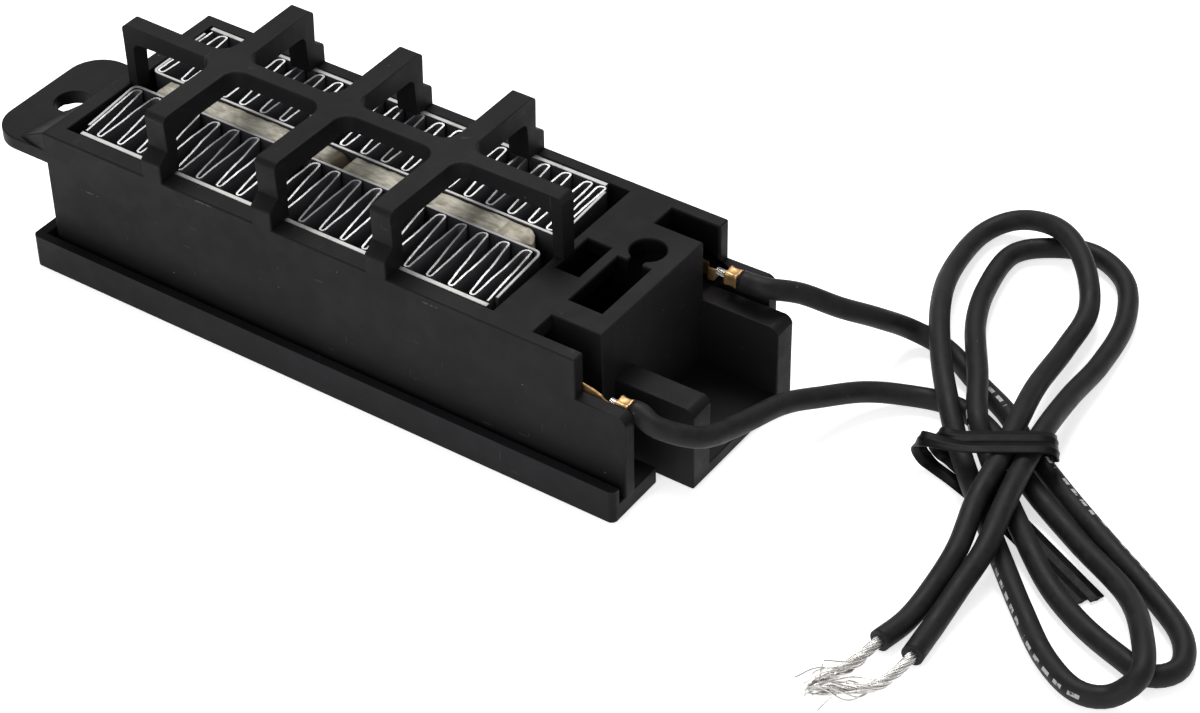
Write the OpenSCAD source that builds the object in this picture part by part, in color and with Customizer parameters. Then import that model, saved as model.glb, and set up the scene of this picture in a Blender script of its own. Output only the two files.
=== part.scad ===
// PTC air heater element: a moulded housing with an open guard, seated in a lipped tray.
// Two rows of corrugated fins with ceramic heating plates between them stand in its window,
// and brass terminals carry the current from two flexible leads to the fins.
// Millimetres, +Z up. The origin is at the middle of the rigid part's footprint, on the floor.

/* [Housing] */
// Length of the deck block, from the ear's end to the lead end
block_len = 77; // [76:0.5:84]
// Width across the side walls
body_w = 30.5; // [30.5:0.5:34]
// Height of the deck above the floor
deck_z = 19; // [18.5:0.5:22]
// Thickness of the deck over the lead end
deck_t = 2; // [1.6:0.1:2.4]
// Thickness of the side walls
wall_t = 1.7; // [1.6:0.1:1.9]
// Width of the rim between the front face and the window
rim_front = 2.35; // [2.2:0.05:2.5]
// Thickness of the wall at the ear's end
end_wall = 1.95; // [1.6:0.05:2.2]
// Thickness of the partition between the window and the lead end
partition_t = 1.2; // [1:0.1:1.6]
// Clearance between the core and the window, each side
core_gap = 0.1; // [0.05:0.05:0.2]
// Distance from the end walls of the window to the core
core_end_gap = 1.15; // [0.6:0.05:1.4]

/* [Lead end] */
// Length of the lowered side walls past the deck block
apron_len = 6.6; // [5:0.2:8]
// Height of the lowered side walls
apron_z = 13.6; // [12.5:0.2:14.2]
// Radius of the lowered walls' top corners
apron_r = 1.2; // [0.6:0.2:2]
// Width of the two terminal channels
channel_w = 3.5; // [3.2:0.1:3.8]
// Length of the channels' open slots in the deck
slot_len = 6.6; // [5:0.2:8]
// Thickness of the walls between the channels and the pocket
cell_wall = 1.6; // [1.2:0.1:2]
// Thickness of the deck block's end wall
block_end_t = 1.8; // [1.4:0.1:2.2]

/* [Deck openings] */
// Length of the small rectangular opening
vent_len = 3.2; // [2.4:0.2:3.6]
// Width of the small rectangular opening
vent_w = 6.35; // [5:0.25:7]
// Distance of the small opening from the front face
vent_y = 12.4; // [11:0.2:14]
// Width of the keyhole's rectangle along the part
key_len = 4.4; // [4.1:0.1:4.6]
// Length of the keyhole's rectangle across the part
key_w = 9.5; // [8.5:0.5:10]
// Distance of the keyhole from the front face
key_y = 8.45; // [8:0.25:9]
// Distance of the keyhole from the block's end
key_inset = 2.2; // [2:0.1:2.4]
// Diameter of the keyhole's round end
key_d = 4.3; // [4.1:0.1:4.4]
// Distance from the rectangle's end to the round end's centre
key_reach = 2.75; // [2.6:0.05:2.9]
// Width of the neck that joins the two
key_neck = 1.8; // [1.4:0.2:2.4]

/* [Trough] */
// Distance of the trough from the front face
trough_y = 7.55; // [7.2:0.05:7.8]
// Width over both arms
trough_w = 20.3; // [19.5:0.1:20.6]
// Length past the deck block
trough_len = 10.4; // [9:0.2:12]
// Height of the arms
trough_z = 11.25; // [10:0.25:11.5]
// Thickness of the front arm
arm_front_t = 3.4; // [2.8:0.1:3.8]
// Thickness of the back arm
arm_back_t = 3.1; // [2.6:0.1:3.4]
// Thickness of the floor
trough_floor = 1.7; // [1.4:0.1:2.2]
// Radius of the arms' top corners at their ends
arm_end_r = 1.1; // [0.4:0.1:1.5]

/* [Guard] */
// Height of the guard above the floor
guard_z = 27.15; // [25.5:0.25:30]
// Width of a cross bar
bar_w = 2.9; // [2.4:0.1:3.4]
// Depth of a cross bar
bar_t = 2.8; // [2.4:0.1:3.2]
// Number of cross bars
bar_count = 3; // [2:1:3]
// Distance from the block's left end to the first bar
bar_x = 15.7; // [15:0.1:16.4]
// Distance between bars
bar_pitch = 16.4; // [15:0.2:17]
// Set-back of the bars' ends from the side faces
bar_setback = 1.55; // [1.2:0.05:1.8]
// Thickness of the legs under the bars
leg_t = 1.8; // [1.6:0.1:2]
// Height of the plinth under each leg
plinth_h = 2.4; // [1.8:0.1:2.8]
// Height of the chamfer on the plinth
plinth_chamfer = 1.15; // [0.8:0.05:1.4]
// Radius of the bars' top ends
bar_end_r = 0.8; // [0.4:0.1:1.2]
// Radius under the bars' ends
bar_under_r = 1; // [0.6:0.1:1.4]
// Width of the spine
spine_w = 2.3; // [2:0.1:2.6]
// Depth of the spine
spine_t = 2.3; // [2:0.1:2.7]
// Distance from the front face to the spine's middle
spine_y = 15.15; // [14.6:0.05:15.6]
// Thickness of the spine's end legs
spine_leg_t = 1.5; // [1.2:0.1:1.8]
// Set-back of the spine's left leg from the block's left end
spine_inset = 1.3; // [1:0.1:1.6]
// Radius of the corners where bars and spine meet
web_r = 2; // [1.5:0.1:2.5]

/* [Ear] */
// Length of the mounting ear
ear_len = 9.35; // [8.5:0.05:11]
// Width of the mounting ear
ear_w = 19.4; // [18:0.2:21]
// Thickness of the mounting ear
ear_t = 1.85; // [1.6:0.05:2.4]
// Height of the ear's top face
ear_z = 16.35; // [15.6:0.05:16.8]
// Radius of the ear's back corner
ear_back_r = 4.6; // [4:0.2:6]
// Radius of the ear's front corner
ear_front_r = 4.2; // [3:0.2:6]
// Diameter of the screw hole
ear_hole_d = 4.6; // [4.2:0.1:5]
// Distance of the screw hole from the block's left end
ear_hole_x = 4.15; // [4:0.05:4.6]
// Distance of the screw hole from the front face
ear_hole_y = 9.65; // [9:0.05:10.2]
// Length of the ramp from the ear up to the deck, along the front face
ramp_len = 4.7; // [4:0.1:5.5]
// Angle by which the ramp's foot turns towards the wall
ramp_turn = 8; // [4:1:10]

/* [Tray] */
// Thickness of the tray's plate
plate_t = 2.3; // [2:0.1:2.6]
// Distance from the housing's walls to the lip's outer face
lip_out = 2.1; // [1.9:0.1:2.4]
// Thickness of the lip
lip_t = 1.3; // [1:0.1:1.5]
// Height of the lip
lip_z = 4.4; // [3.8:0.1:5]
// Radius of the tray's corners
tray_r = 0.8; // [0.5:0.1:1.2]
// Distance from the tray's right end to the lowered walls' ends
tray_short = 0.3; // [0.1:0.1:0.6]
// Clearance between the trough and the tray's notch
notch_gap = 1.2; // [0.9:0.1:1.4]
// Height of the seat that carries the core
seat_h = 1.5; // [1.2:0.1:1.8]
// Clearance between the seat and the housing's window
seat_gap = 0.15; // [0.1:0.05:0.25]
// Width of the seat's ledges under the core
ledge_w = 1.7; // [1.4:0.1:2]

/* [Core] */
// Depth of the core along the air flow
core_h = 15; // [14.5:0.1:15.1]
// Thickness of the straight outer strips
strip_t = 0.6; // [0.5:0.05:0.7]
// Thickness of the bent inner channels
channel_t = 0.45; // [0.4:0.05:0.5]
// Thickness of the ceramic plates
chip_t = 3.15; // [3:0.05:3.2]
// Gap between the two ceramic plates
chip_gap = 2.8; // [2.4:0.1:3.2]
// Distance from the core's left end to the first ceramic plate
chip_start = 2.3; // [2:0.1:2.6]
// Length of the adhesive bead past the second plate
bead_len = 4.5; // [3:0.1:4.8]
// Distance from the bead to the core's right end
bead_room = 2.85; // [2.4:0.05:4]
// Depth of the plates below the core's faces
chip_inset = 0.2; // [0.1:0.1:0.4]
// Thickness of the fin sheet
fin_t = 0.3; // [0.25:0.05:0.35]
// Distance between folds of the fins
fin_pitch = 3.05; // [2.9:0.05:3.3]
// Distance from a far fold to the next near fold
fin_lean = 1.87; // [1.7:0.01:2]
// Radius of the folds near the front face, at the sheet's middle
fold_near_r = 0.3; // [0.25:0.05:0.35]
// Radius of the folds away from the front face, at the sheet's middle
fold_far_r = 0.42; // [0.36:0.02:0.5]
// Distance from the channel's end to the front row's first far fold
front_row_start = 0.65; // [0.6:0.05:0.8]
// Distance from the channel's end to the back row's first far fold
back_row_start = 1.28; // [1.1:0.02:1.5]
// Outer radius of the channels' left bend
bend_left_r = 1; // [0.7:0.1:1.3]
// Outer radius of the channels' right bend
bend_right_r = 0.6; // [0.5:0.1:1]

/* [Terminals and leads] */
// Thickness of the brass tongues
tongue_t = 0.5; // [0.4:0.05:0.6]
// Height of the brass tongues
tongue_h = 2; // [1.6:0.1:2]
// Length of the tongues' contact with the outer strips
contact_len = 6; // [4:0.5:8]
// Clearance around the tongues in their recesses
tongue_gap = 0.1; // [0.05:0.05:0.15]
// Length of the crimp barrels
barrel_len = 1.7; // [1.4:0.1:2]
// Outside width of the crimp barrels
barrel_w = 2.1; // [2:0.1:2.3]
// Radius of the crimp barrels' corners
barrel_r = 0.55; // [0.4:0.05:0.6]
// Diameter of the bare conductor
conductor_d = 1.3; // [1.1:0.05:1.4]
// Length of bare conductor that shows before the front barrel
front_bare = 1; // [0.4:0.1:1.2]
// Length of bare conductor that shows before the back barrel
back_bare = 1.4; // [0.4:0.1:1.6]
// Outside diameter of the leads
lead_d = 2.5; // [2.3:0.05:2.5]
// Height of the front lead's axis at its barrel
front_axis_z = 12.5; // [12.3:0.1:12.6]
// Distance of the front lead's axis from the front face
front_axis_y = 2.95; // [2.9:0.05:3.2]
// Distance of the front barrel from the block's end
front_barrel_x = 3.7; // [3.3:0.1:3.9]
// Height of the back lead's axis at its barrel
back_axis_z = 13.8; // [13.6:0.1:14]
// Distance of the back lead's axis from the back face
back_axis_y = 3.05; // [3:0.05:3.2]
// Distance of the back barrel from the block's end
back_barrel_x = 1.9; // [1.6:0.1:2.3]
// Thickness of the tie's strip
tie_t = 0.45; // [0.35:0.05:0.45]
// Width of the tie's two turns together
tie_w = 3.8; // [3:0.2:4]

/* [Hidden] */
$fn = 48;

// Colours
plastic = "#201e21";
aluminium = "#c9ccce";
ceramic = "#8f8b78";
resin = "#a7a48f";
brass = "#b98a44";
tinned = "#b9b9b5";
rubber = "#262528";

// Places along the part, from the block's left end
vent_room = 4.7;
window_x0 = end_wall;
window_x1 = block_len - slot_len - vent_room - partition_t;
cell_x0 = window_x1 + partition_t;
cell_x1 = block_len - block_end_t;
slot_x0 = block_len - slot_len;
apron_x1 = block_len + apron_len;
trough_x1 = block_len + trough_len;
bar_xs = [for (i = [0 : bar_count - 1]) bar_x + i * bar_pitch];

// Places across the part, from the front face
window_y0 = rim_front;
window_y1 = body_w - wall_t;
front_channel = [wall_t, wall_t + channel_w];
back_channel = [body_w - wall_t - channel_w, body_w - wall_t];
cell_y = [front_channel[1] + cell_wall, back_channel[0] - cell_wall];
bars_y = [bar_setback, body_w - bar_setback];
spine_ys = [spine_y - spine_w / 2, spine_y + spine_w / 2];
trough_ys = [trough_y, trough_y + trough_w];

// The core, from its front bottom left corner
core_x0 = window_x0 + core_end_gap;
core_x1 = window_x1 - core_end_gap;
core_y0 = window_y0 + core_gap;
core_y1 = window_y1 - core_gap;
core_z0 = plate_t + seat_h;
row_w = (core_y1 - core_y0 - 2 * strip_t - 2 * channel_t - chip_t) / 2;
front_row = [core_y0 + strip_t, core_y0 + strip_t + row_w];
chip_y = [front_row[1] + channel_t, front_row[1] + channel_t + chip_t];
back_row = [chip_y[1] + channel_t, chip_y[1] + channel_t + row_w];
chip_x0 = core_x0 + chip_start;
chip_len = (core_x1 - bead_room - bead_len - chip_gap - chip_x0) / 2;

// Terminals: height of each tongue's lower edge, and where tongues end
front_tongue_z = front_axis_z - 0.3;
back_tongue_z = trough_z + 0.05;
tongue_x0 = core_x1 - contact_len;
front_tongue_x1 = block_len + 2.4;
back_tongue_x1 = block_len - 0.3;
lead_gap = 0.25;
overlap = 1;

// The origin is moved to the middle of the footprint
shift = [-(trough_x1 - ear_len) / 2, -body_w / 2, 0];

// Routes of the leads, in the part's frame, and of the bare wires at their ends
front_start = shift + [block_len + front_barrel_x + barrel_len + lead_gap, front_axis_y, front_axis_z];
back_start = shift + [block_len + back_barrel_x + barrel_len + lead_gap, body_w - back_axis_y, back_axis_z];
front_route = [
    [47, -12.5, 11.8], [50.5, -9.5, 10], [51.5, -3.5, 8], [52.5, 4, 6.2], [54.5, 9.5, 4.4], [57, 14.5, 2.8],
    [60.5, 18, 1.5], [65, 19.5, 1.3], [69.8, 18.4, 1.7], [74.6, 15.6, 1.8], [81.1, 11.1, 1.7], [88.6, 7, 1.3],
    [97.2, 1.7, 2.2], [102.3, -5, 3.9], [104.5, -9.8, 3.9], [102.5, -12, 1.6], [99, -13, 1.3], [94, -10.5, 1.3],
    [88.5, -5.5, 1.3], [83, 0, 1.3], [77.8, 5, 1.8], [73.8, 9, 2], [70, 13, 2.6], [66.5, 17, 3.8],
    [62, 23, 4.4], [57, 31.5, 4.1], [53.5, 40.5, 2.2], [52.5, 49.5, 1.4], [55.5, 53.5, 2.3], [61.5, 52.3, 4.1],
    [67, 48, 4.2], [71, 42, 2.8], [72, 34.5, 2.4], [73.2, 25.3, 3.7], [75, 17.5, 4.7], [76.5, 11, 4.9],
    [77.5, 4, 4.4], [79.3, -3.2, 3.6], [79.4, -8.6, 1.9], [79.3, -13.6, 1.3], [78.5, -18, 1.3]];
back_route = [
    [45, 12.4, 13.9], [47.7, 15.4, 12.4], [51, 18.5, 9.8], [53.5, 23, 6.4], [55.5, 27.6, 2.5], [60, 28, 1.3],
    [66.1, 24.6, 1.3], [71.6, 21.4, 1.7], [76.4, 17.6, 1.8], [83.3, 13.3, 1.4], [90.7, 8.9, 1.3], [98.1, 4.6, 1.3],
    [104.3, 0.3, 1.3], [106.4, -4.1, 1.3], [104.3, -6.9, 1.3], [100, -6, 1.3], [94.5, -3.9, 1.3], [89, -0.6, 1.4],
    [82.9, 4.5, 2.05], [77, 10.1, 2.2], [73.5, 13.5, 2.75], [70.7, 16.1, 4.3], [66.8, 23, 4.3], [61.7, 31.6, 3.2],
    [58.5, 40, 1.8], [57.5, 48, 1.3], [61, 52, 1.3], [66, 53.5, 1.3], [71.5, 50.5, 1.3], [75, 43.5, 1.3],
    [76.3, 35, 1.6], [76.8, 26.7, 2.8], [78, 18.1, 4.4], [79, 12, 4.6], [80.5, 5, 4.8], [81.9, -2, 3.8],
    [81.95, -7.5, 2.4], [82.1, -13, 1.3], [82.5, -18, 1.3]];
front_wire = [[78.1, -21, 1.1], [77, -25, 0.9], [75, -29, 0.8]];
back_wire = [[82, -20.5, 1.1], [80.2, -24.5, 0.9], [77.4, -28.5, 0.8]];

// Where the tie goes round the leads, how far its top leans to the front, and its tails on the floor
tie_at = [73, 16.2];
tie_turn = 33;
tie_reach = [-6.6, 6.9];
tie_lean = 5.3;
tie_top = 6.6;
tie_floor = 0.02;
tie_tails = [[66.3, 10.6], [67.9, 13.8], [79.5, 9.5], [94.2, 2.4], [92.5, -0.9], [83.5, 3.5], [74.7, 6.9]];

// A box between two limits on each axis
module span(x, y, z)
    translate([x[0], y[0], z[0]])
        cube([x[1] - x[0], y[1] - y[0], z[1] - z[0]]);

// A flat shape in the YZ plane, given depth along X between two limits
module across(x)
    translate([x[0], 0, 0])
        rotate([90, 0, 90])
            linear_extrude(x[1] - x[0])
                children();

// A flat shape in the XZ plane, given depth along Y between two limits
module along(y)
    translate([0, y[1], 0])
        rotate([90, 0, 0])
            linear_extrude(y[1] - y[0])
                children();

// A flat rectangle between two limits, with a radius for each corner:
// low left, low right, high right, high left
module panel(x, y, r) {
    w = x[1] - x[0];
    h = y[1] - y[0];
    translate([x[0], y[0]])
        difference() {
            square([w, h]);
            if (r[0] > 0) corner_waste(r[0]);
            if (r[1] > 0) translate([w, 0]) mirror([1, 0]) corner_waste(r[1]);
            if (r[2] > 0) translate([w, h]) mirror([1, 0]) mirror([0, 1]) corner_waste(r[2]);
            if (r[3] > 0) translate([0, h]) mirror([0, 1]) corner_waste(r[3]);
        }
}

// What a round of radius r removes from a corner at the origin
module corner_waste(r)
    difference() {
        translate([-overlap, -overlap]) square(r + overlap);
        translate([r, r]) circle(r);
    }

// What a fillet of radius r adds in a corner at the origin
module corner_web(r)
    difference() {
        square(r);
        translate([r, r]) circle(r);
    }

// Points of an arc, from angle a0 to a1 in n steps
function arc(c, r, a0, a1, n) =
    [for (i = [0 : n]) let (a = a0 + (a1 - a0) * i / n) c + r * [cos(a), sin(a)]];

// Point i of a flat path, moved to its left by s
function beside(path, i, s) =
    let (d = path[min(i + 1, len(path) - 1)] - path[max(i - 1, 0)])
    path[i] + s / norm(d) * [-d[1], d[0]];

// Outline of a sheet of thickness t that follows a flat path
function sheet_outline(path, t) =
    let (n = len(path))
    concat([for (i = [0 : n - 1]) beside(path, i, -t / 2)],
        [for (i = [n - 1 : -1 : 0]) beside(path, i, t / 2)]);

// A round cord of diameter d swept along a path, with its rings square to it
module cord(path, d) {
    sides = 8;
    n = len(path);
    rings = [for (i = [0 : n - 1])
        let (
            t = path[min(i + 1, n - 1)] - path[max(i - 1, 0)],
            f = t / norm(t),
            u = cross(f, [0, 0, 1]) / norm(cross(f, [0, 0, 1])),
            v = cross(u, f))
        for (k = [0 : sides - 1])
            path[i] + d / 2 * (cos(k * 360 / sides) * u + sin(k * 360 / sides) * v)];
    sleeve = [for (i = [0 : n - 2], k = [0 : sides - 1])
        let (a = i * sides + k, b = i * sides + (k + 1) % sides)
        [a, b, b + sides, a + sides]];
    start = [for (k = [sides - 1 : -1 : 0]) k];
    end = [for (k = [0 : sides - 1]) (n - 1) * sides + k];
    polyhedron(rings, concat([start, end], sleeve), convexity = 8);
}

// One mould: block, lowered walls, trough, ear and guard
module housing()
    color(plastic)
        translate(shift) {
            difference() {
                union() {
                    block();
                    ear();
                }
                ear_hole();
            }
            trough();
            guard();
        }

// The block with the core's window, the terminal channels and the deck's openings
module block()
    difference() {
        union() {
            span([0, block_len], [0, body_w], [plate_t, deck_z]);
            lowered_wall([0, wall_t]);
            lowered_wall([body_w - wall_t, body_w]);
        }
        // Window of the core
        span([window_x0, window_x1], [window_y0, window_y1], [0, deck_z + overlap]);
        // Pocket behind the partition
        span([cell_x0, cell_x1], cell_y, [0, deck_z - deck_t]);
        // Front channel, under the deck and then open above
        span([cell_x0, block_len + overlap], front_channel, [0, deck_z - deck_t]);
        span([slot_x0, block_len + overlap], front_channel, [plate_t, deck_z + overlap]);
        // Back channel, with a shelf level with the trough's arms
        span([cell_x0, block_len + overlap], back_channel, [trough_z, deck_z - deck_t]);
        span([slot_x0, block_len + overlap], back_channel, [trough_z, deck_z + overlap]);
        span([cell_x0, cell_x1], back_channel, [0, trough_z - trough_floor]);
        // Recesses and slits of the tongues
        span([tongue_x0 - tongue_gap, cell_x0 + overlap], [core_y0 - tongue_t - tongue_gap, window_y0 + overlap],
            [front_tongue_z - tongue_gap, front_tongue_z + tongue_h + tongue_gap]);
        span([tongue_x0 - tongue_gap, block_len + overlap],
            [window_y1 - overlap, core_y1 + tongue_t + tongue_gap],
            [back_tongue_z - 0.05, back_tongue_z + tongue_h + tongue_gap]);
        deck_openings();
    }

// The rectangular opening and the keyhole beside it
module deck_openings() {
    key_x1 = block_len - key_inset;
    key_x = [key_x1 - key_len, key_x1];
    key_mid = key_x1 - key_len / 2;
    key_y1 = key_y + key_w;
    z = [deck_z - deck_t - overlap, deck_z + overlap];
    span([cell_x0, cell_x0 + vent_len], [vent_y, vent_y + vent_w], z);
    span(key_x, [key_y, key_y1], z);
    span([key_mid - key_neck / 2, key_mid + key_neck / 2], [key_y1 - overlap, key_y1 + key_reach], z);
    translate([key_mid, key_y1 + key_reach, z[0]])
        cylinder(d = key_d, h = z[1] - z[0]);
}

// A side wall that goes on past the block at a lower height
module lowered_wall(y)
    along(y)
        panel([block_len - overlap, apron_x1], [plate_t, apron_z], [0, 0, apron_r, 0]);

// The tongue between the lowered walls, open above and at its end
module trough() {
    difference() {
        along(trough_ys)
            panel([cell_x1, trough_x1], [0, trough_z], [0, 0, arm_end_r, 0]);
        span([block_len, trough_x1 + overlap], [trough_ys[0] + arm_front_t, trough_ys[1] - arm_back_t],
            [trough_floor, trough_z + overlap]);
    }
}

// The mounting ear with its ramp up to the deck
module ear() {
    linear_ear([ear_z - ear_t, ear_z]);
    intersection() {
        linear_ear([ear_z - ear_t, deck_z]);
        rotate([0, 0, -ramp_turn])
            along([0, ear_w * 1.2])
                polygon([[-ramp_len, ear_z], [ramp_len, ear_z - overlap], [ramp_len, deck_z * 2 - ear_z],
                    [0, deck_z]]);
    }
}

// The ear's outline, between two heights
module linear_ear(z)
    translate([0, 0, z[0]])
        linear_extrude(z[1] - z[0])
            panel([-ear_len, overlap], [0, ear_w], [ear_front_r, 0, 0, ear_back_r]);

module ear_hole()
    translate([-ear_hole_x, ear_hole_y, ear_z - ear_t - overlap])
        cylinder(d = ear_hole_d, h = deck_z);

// Cross bars on legs, tied by a spine on end legs
module guard() {
    for (x = bar_xs)
        across([x, x + bar_w])
            bar_profile();
    along(spine_ys)
        spine_profile();
    for (x = bar_xs, side = [0, 1], end = [0, 1])
        translate([x + end * bar_w, spine_ys[side], guard_z - spine_t])
            mirror([1 - end, 0, 0])
                mirror([0, 1 - side, 0])
                    linear_extrude(spine_t)
                        corner_web(web_r);
}

// A cross bar with its legs and plinths, across the part
module bar_profile()
    difference() {
        union() {
            panel(bars_y, [deck_z, guard_z], [0, 0, bar_end_r, bar_end_r]);
            plinth();
            translate([body_w, 0]) mirror([1, 0]) plinth();
        }
        panel([bars_y[0] + leg_t, bars_y[1] - leg_t], [deck_z - overlap, guard_z - bar_t],
            [0, 0, bar_under_r, bar_under_r]);
    }

// A plinth flush with the side face, chamfered up to its leg
module plinth()
    polygon([[0, deck_z - overlap], [wall_t / 2, deck_z - overlap], [wall_t / 2, deck_z],
        [bar_setback + leg_t, deck_z], [bar_setback + leg_t, deck_z + plinth_h + plinth_chamfer],
        [bar_setback, deck_z + plinth_h + plinth_chamfer], [0, deck_z + plinth_h]]);

// The spine with its end legs, along the part
module spine_profile()
    difference() {
        panel([spine_inset, cell_x0], [deck_z - overlap, guard_z], [0, 0, bar_end_r, bar_end_r]);
        panel([spine_inset + spine_leg_t, cell_x0 - spine_leg_t], [deck_z - 2 * overlap, guard_z - spine_t],
            [0, 0, bar_under_r, bar_under_r]);
    }

// The tray: a lipped plate with a seat for the core and openings for the air
module base_tray() {
    tray_x = [-lip_out, apron_x1 - tray_short];
    tray_y = [-lip_out, body_w + lip_out];
    color(plastic)
        translate(shift)
            difference() {
                union() {
                    difference() {
                        linear_extrude(lip_z)
                            panel(tray_x, tray_y, [tray_r, tray_r, tray_r, tray_r]);
                        // The lip stands on three sides
                        span([tray_x[0] + lip_t, tray_x[1] + overlap], [tray_y[0] + lip_t, tray_y[1] - lip_t],
                            [plate_t, lip_z + overlap]);
                    }
                    span([window_x0 + seat_gap, window_x1 - seat_gap],
                        [window_y0 + seat_gap, window_y1 - seat_gap], [0, core_z0]);
                }
                air_bays();
                // Notch round the trough
                span([cell_x1 - seat_gap, tray_x[1] + overlap], [trough_ys[0] - notch_gap, window_y1],
                    [-overlap, core_z0]);
            }
}

// Openings between the seat's ledges and the bars under the core
module air_bays() {
    starts = concat([core_x0 + ledge_w], [for (x = bar_xs) x + bar_w]);
    ends = concat([for (x = bar_xs) x], [core_x1 - ledge_w]);
    sides = [[core_y0 + ledge_w, spine_ys[0]], [spine_ys[1], core_y1 - ledge_w]];
    for (i = [0 : len(starts) - 1], y = sides)
        span([starts[i], ends[i]], y, [-overlap, core_z0 + overlap]);
}

// A row of folded fins between two faces, from the first far fold on
module fin_row(row, start) {
    x_in = core_x0 + channel_t;
    x_out = core_x1 - channel_t;
    near_y = row[0] + fin_t / 2;
    far_y = row[1] - fin_t / 2;
    room = x_out - x_in - fin_t;
    far_count = floor((room - start - fold_far_r) / fin_pitch) + 1;
    near_count = floor((room - start - fin_lean - fold_near_r) / fin_pitch) + 1;
    folds = [for (k = [0 : far_count - 1])
        let (far_x = x_in + start + k * fin_pitch, near_x = far_x + fin_lean)
        concat(arc([far_x, far_y - fold_far_r], fold_far_r, 180, 0, 6),
            k < near_count ? arc([near_x, near_y + fold_near_r], fold_near_r, 180, 360, 6) : [])];
    last_y = near_count < far_count ? near_y + fin_t / 2 : far_y - fin_t / 2;
    path = concat([[x_in + fin_t, near_y + fin_t / 2]], [for (f = folds, p = f) p],
        [[x_out - fin_t, last_y]]);
    translate([0, 0, core_z0])
        linear_extrude(core_h)
            polygon(sheet_outline(path, fin_t));
}

module fins_front()
    color(aluminium)
        translate(shift)
            fin_row(front_row, front_row_start);

module fins_back()
    color(aluminium)
        translate(shift)
            fin_row(back_row, back_row_start);

// A strip along the ceramic plates, bent round both ends of a row of fins
module inner_channel(depth)
    difference() {
        panel([core_x0, core_x1], [0, depth], [bend_left_r, bend_right_r, 0, 0]);
        panel([core_x0 + channel_t, core_x1 - channel_t], [channel_t, depth + overlap],
            [bend_left_r - channel_t, max(bend_right_r - channel_t, 0), 0, 0]);
    }

module inner_channel_front()
    color(aluminium)
        translate(shift + [0, front_row[1] + channel_t, core_z0])
            mirror([0, 1, 0])
                linear_extrude(core_h)
                    inner_channel(row_w + channel_t - core_gap);

module inner_channel_back()
    color(aluminium)
        translate(shift + [0, back_row[0] - channel_t, core_z0])
            linear_extrude(core_h)
                inner_channel(row_w + channel_t - core_gap);

module side_strip_front()
    color(aluminium)
        translate(shift)
            span([core_x0, core_x1], [core_y0, core_y0 + strip_t], [core_z0, core_z0 + core_h]);

module side_strip_back()
    color(aluminium)
        translate(shift)
            span([core_x0, core_x1], [core_y1 - strip_t, core_y1], [core_z0, core_z0 + core_h]);

// A ceramic heating plate, from its left end
module ptc_plate(x0)
    color(ceramic)
        translate(shift)
            span([x0, x0 + chip_len], chip_y, [core_z0 + chip_inset, core_z0 + core_h - chip_inset]);

module ptc_plate_1() ptc_plate(chip_x0);

module ptc_plate_2() ptc_plate(chip_x0 + chip_len + chip_gap);

// The adhesive past the second plate, with a round end
module adhesive_bead() {
    x0 = chip_x0 + 2 * chip_len + chip_gap;
    color(resin)
        translate(shift + [0, 0, core_z0 + chip_inset])
            linear_extrude(core_h - 2 * chip_inset)
                panel([x0, x0 + bead_len], chip_y, [0, chip_t / 2, chip_t / 2, 0]);
}

// A crimp barrel round a conductor, from x0 on, with the seam of its wings on top
module barrel(x0, axis_y, axis_z)
    translate([0, axis_y, axis_z])
        across([x0, x0 + barrel_len])
            difference() {
                panel([-barrel_w / 2, barrel_w / 2], [-barrel_w / 2, barrel_w / 2],
                    [barrel_r, barrel_r, barrel_r, barrel_r]);
                circle(d = conductor_d);
                translate([0, barrel_w / 2]) rotate(45) square(barrel_r * 0.6, center = true);
            }

// A tongue along the front strip, a neck and a crimp barrel
module terminal_front() {
    y = [core_y0 - tongue_t, core_y0];
    x1 = block_len + front_barrel_x;
    color(brass)
        translate(shift) {
            span([tongue_x0, front_tongue_x1], y, [front_tongue_z, front_tongue_z + tongue_h]);
            span([front_tongue_x1 - overlap, x1 + barrel_len / 2], [y[0], front_axis_y - conductor_d / 2 - 0.05],
                [front_tongue_z, front_tongue_z + tongue_h / 2]);
            barrel(x1, front_axis_y, front_axis_z);
        }
}

// A tongue along the back strip, a neck and a crimp barrel
module terminal_back() {
    y = [core_y1, core_y1 + tongue_t];
    x1 = block_len + back_barrel_x;
    axis_y = body_w - back_axis_y;
    neck_y = [axis_y + conductor_d / 2 + 0.05, window_y1];
    color(brass)
        translate(shift) {
            span([tongue_x0, back_tongue_x1], y, [back_tongue_z, back_tongue_z + tongue_h]);
            span([back_tongue_x1 - overlap, x1 + barrel_len / 2], neck_y,
                [back_axis_z - barrel_w / 2, back_tongue_z + tongue_h]);
            barrel(x1, axis_y, back_axis_z);
        }
}

// The bare end of a lead in its barrel, back from the lead's start
module conductor(start, bare)
    color(tinned)
        translate(start - [lead_gap + barrel_len + bare, 0, 0])
            rotate([0, 90, 0])
                cylinder(d = conductor_d, h = bare + barrel_len + lead_gap);

module conductor_front() conductor(front_start, front_bare);

module conductor_back() conductor(back_start, back_bare);

module lead_front()
    color(rubber)
        cord(concat([front_start, front_start + [overlap, 0, 0]], front_route), lead_d);

module lead_back()
    color(rubber)
        cord(concat([back_start, back_start + [overlap, 0, 0]], back_route), lead_d);

// The bare wire past a lead's cut end, first in line with the lead
module wire_end(route, wire) {
    n = len(route);
    d = route[n - 1] - route[n - 2];
    color(tinned)
        cord(concat([route[n - 1], route[n - 1] + d / norm(d)], wire), conductor_d);
}

module wire_end_front() wire_end(front_route, front_wire);

module wire_end_back() wire_end(back_route, back_wire);

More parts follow.
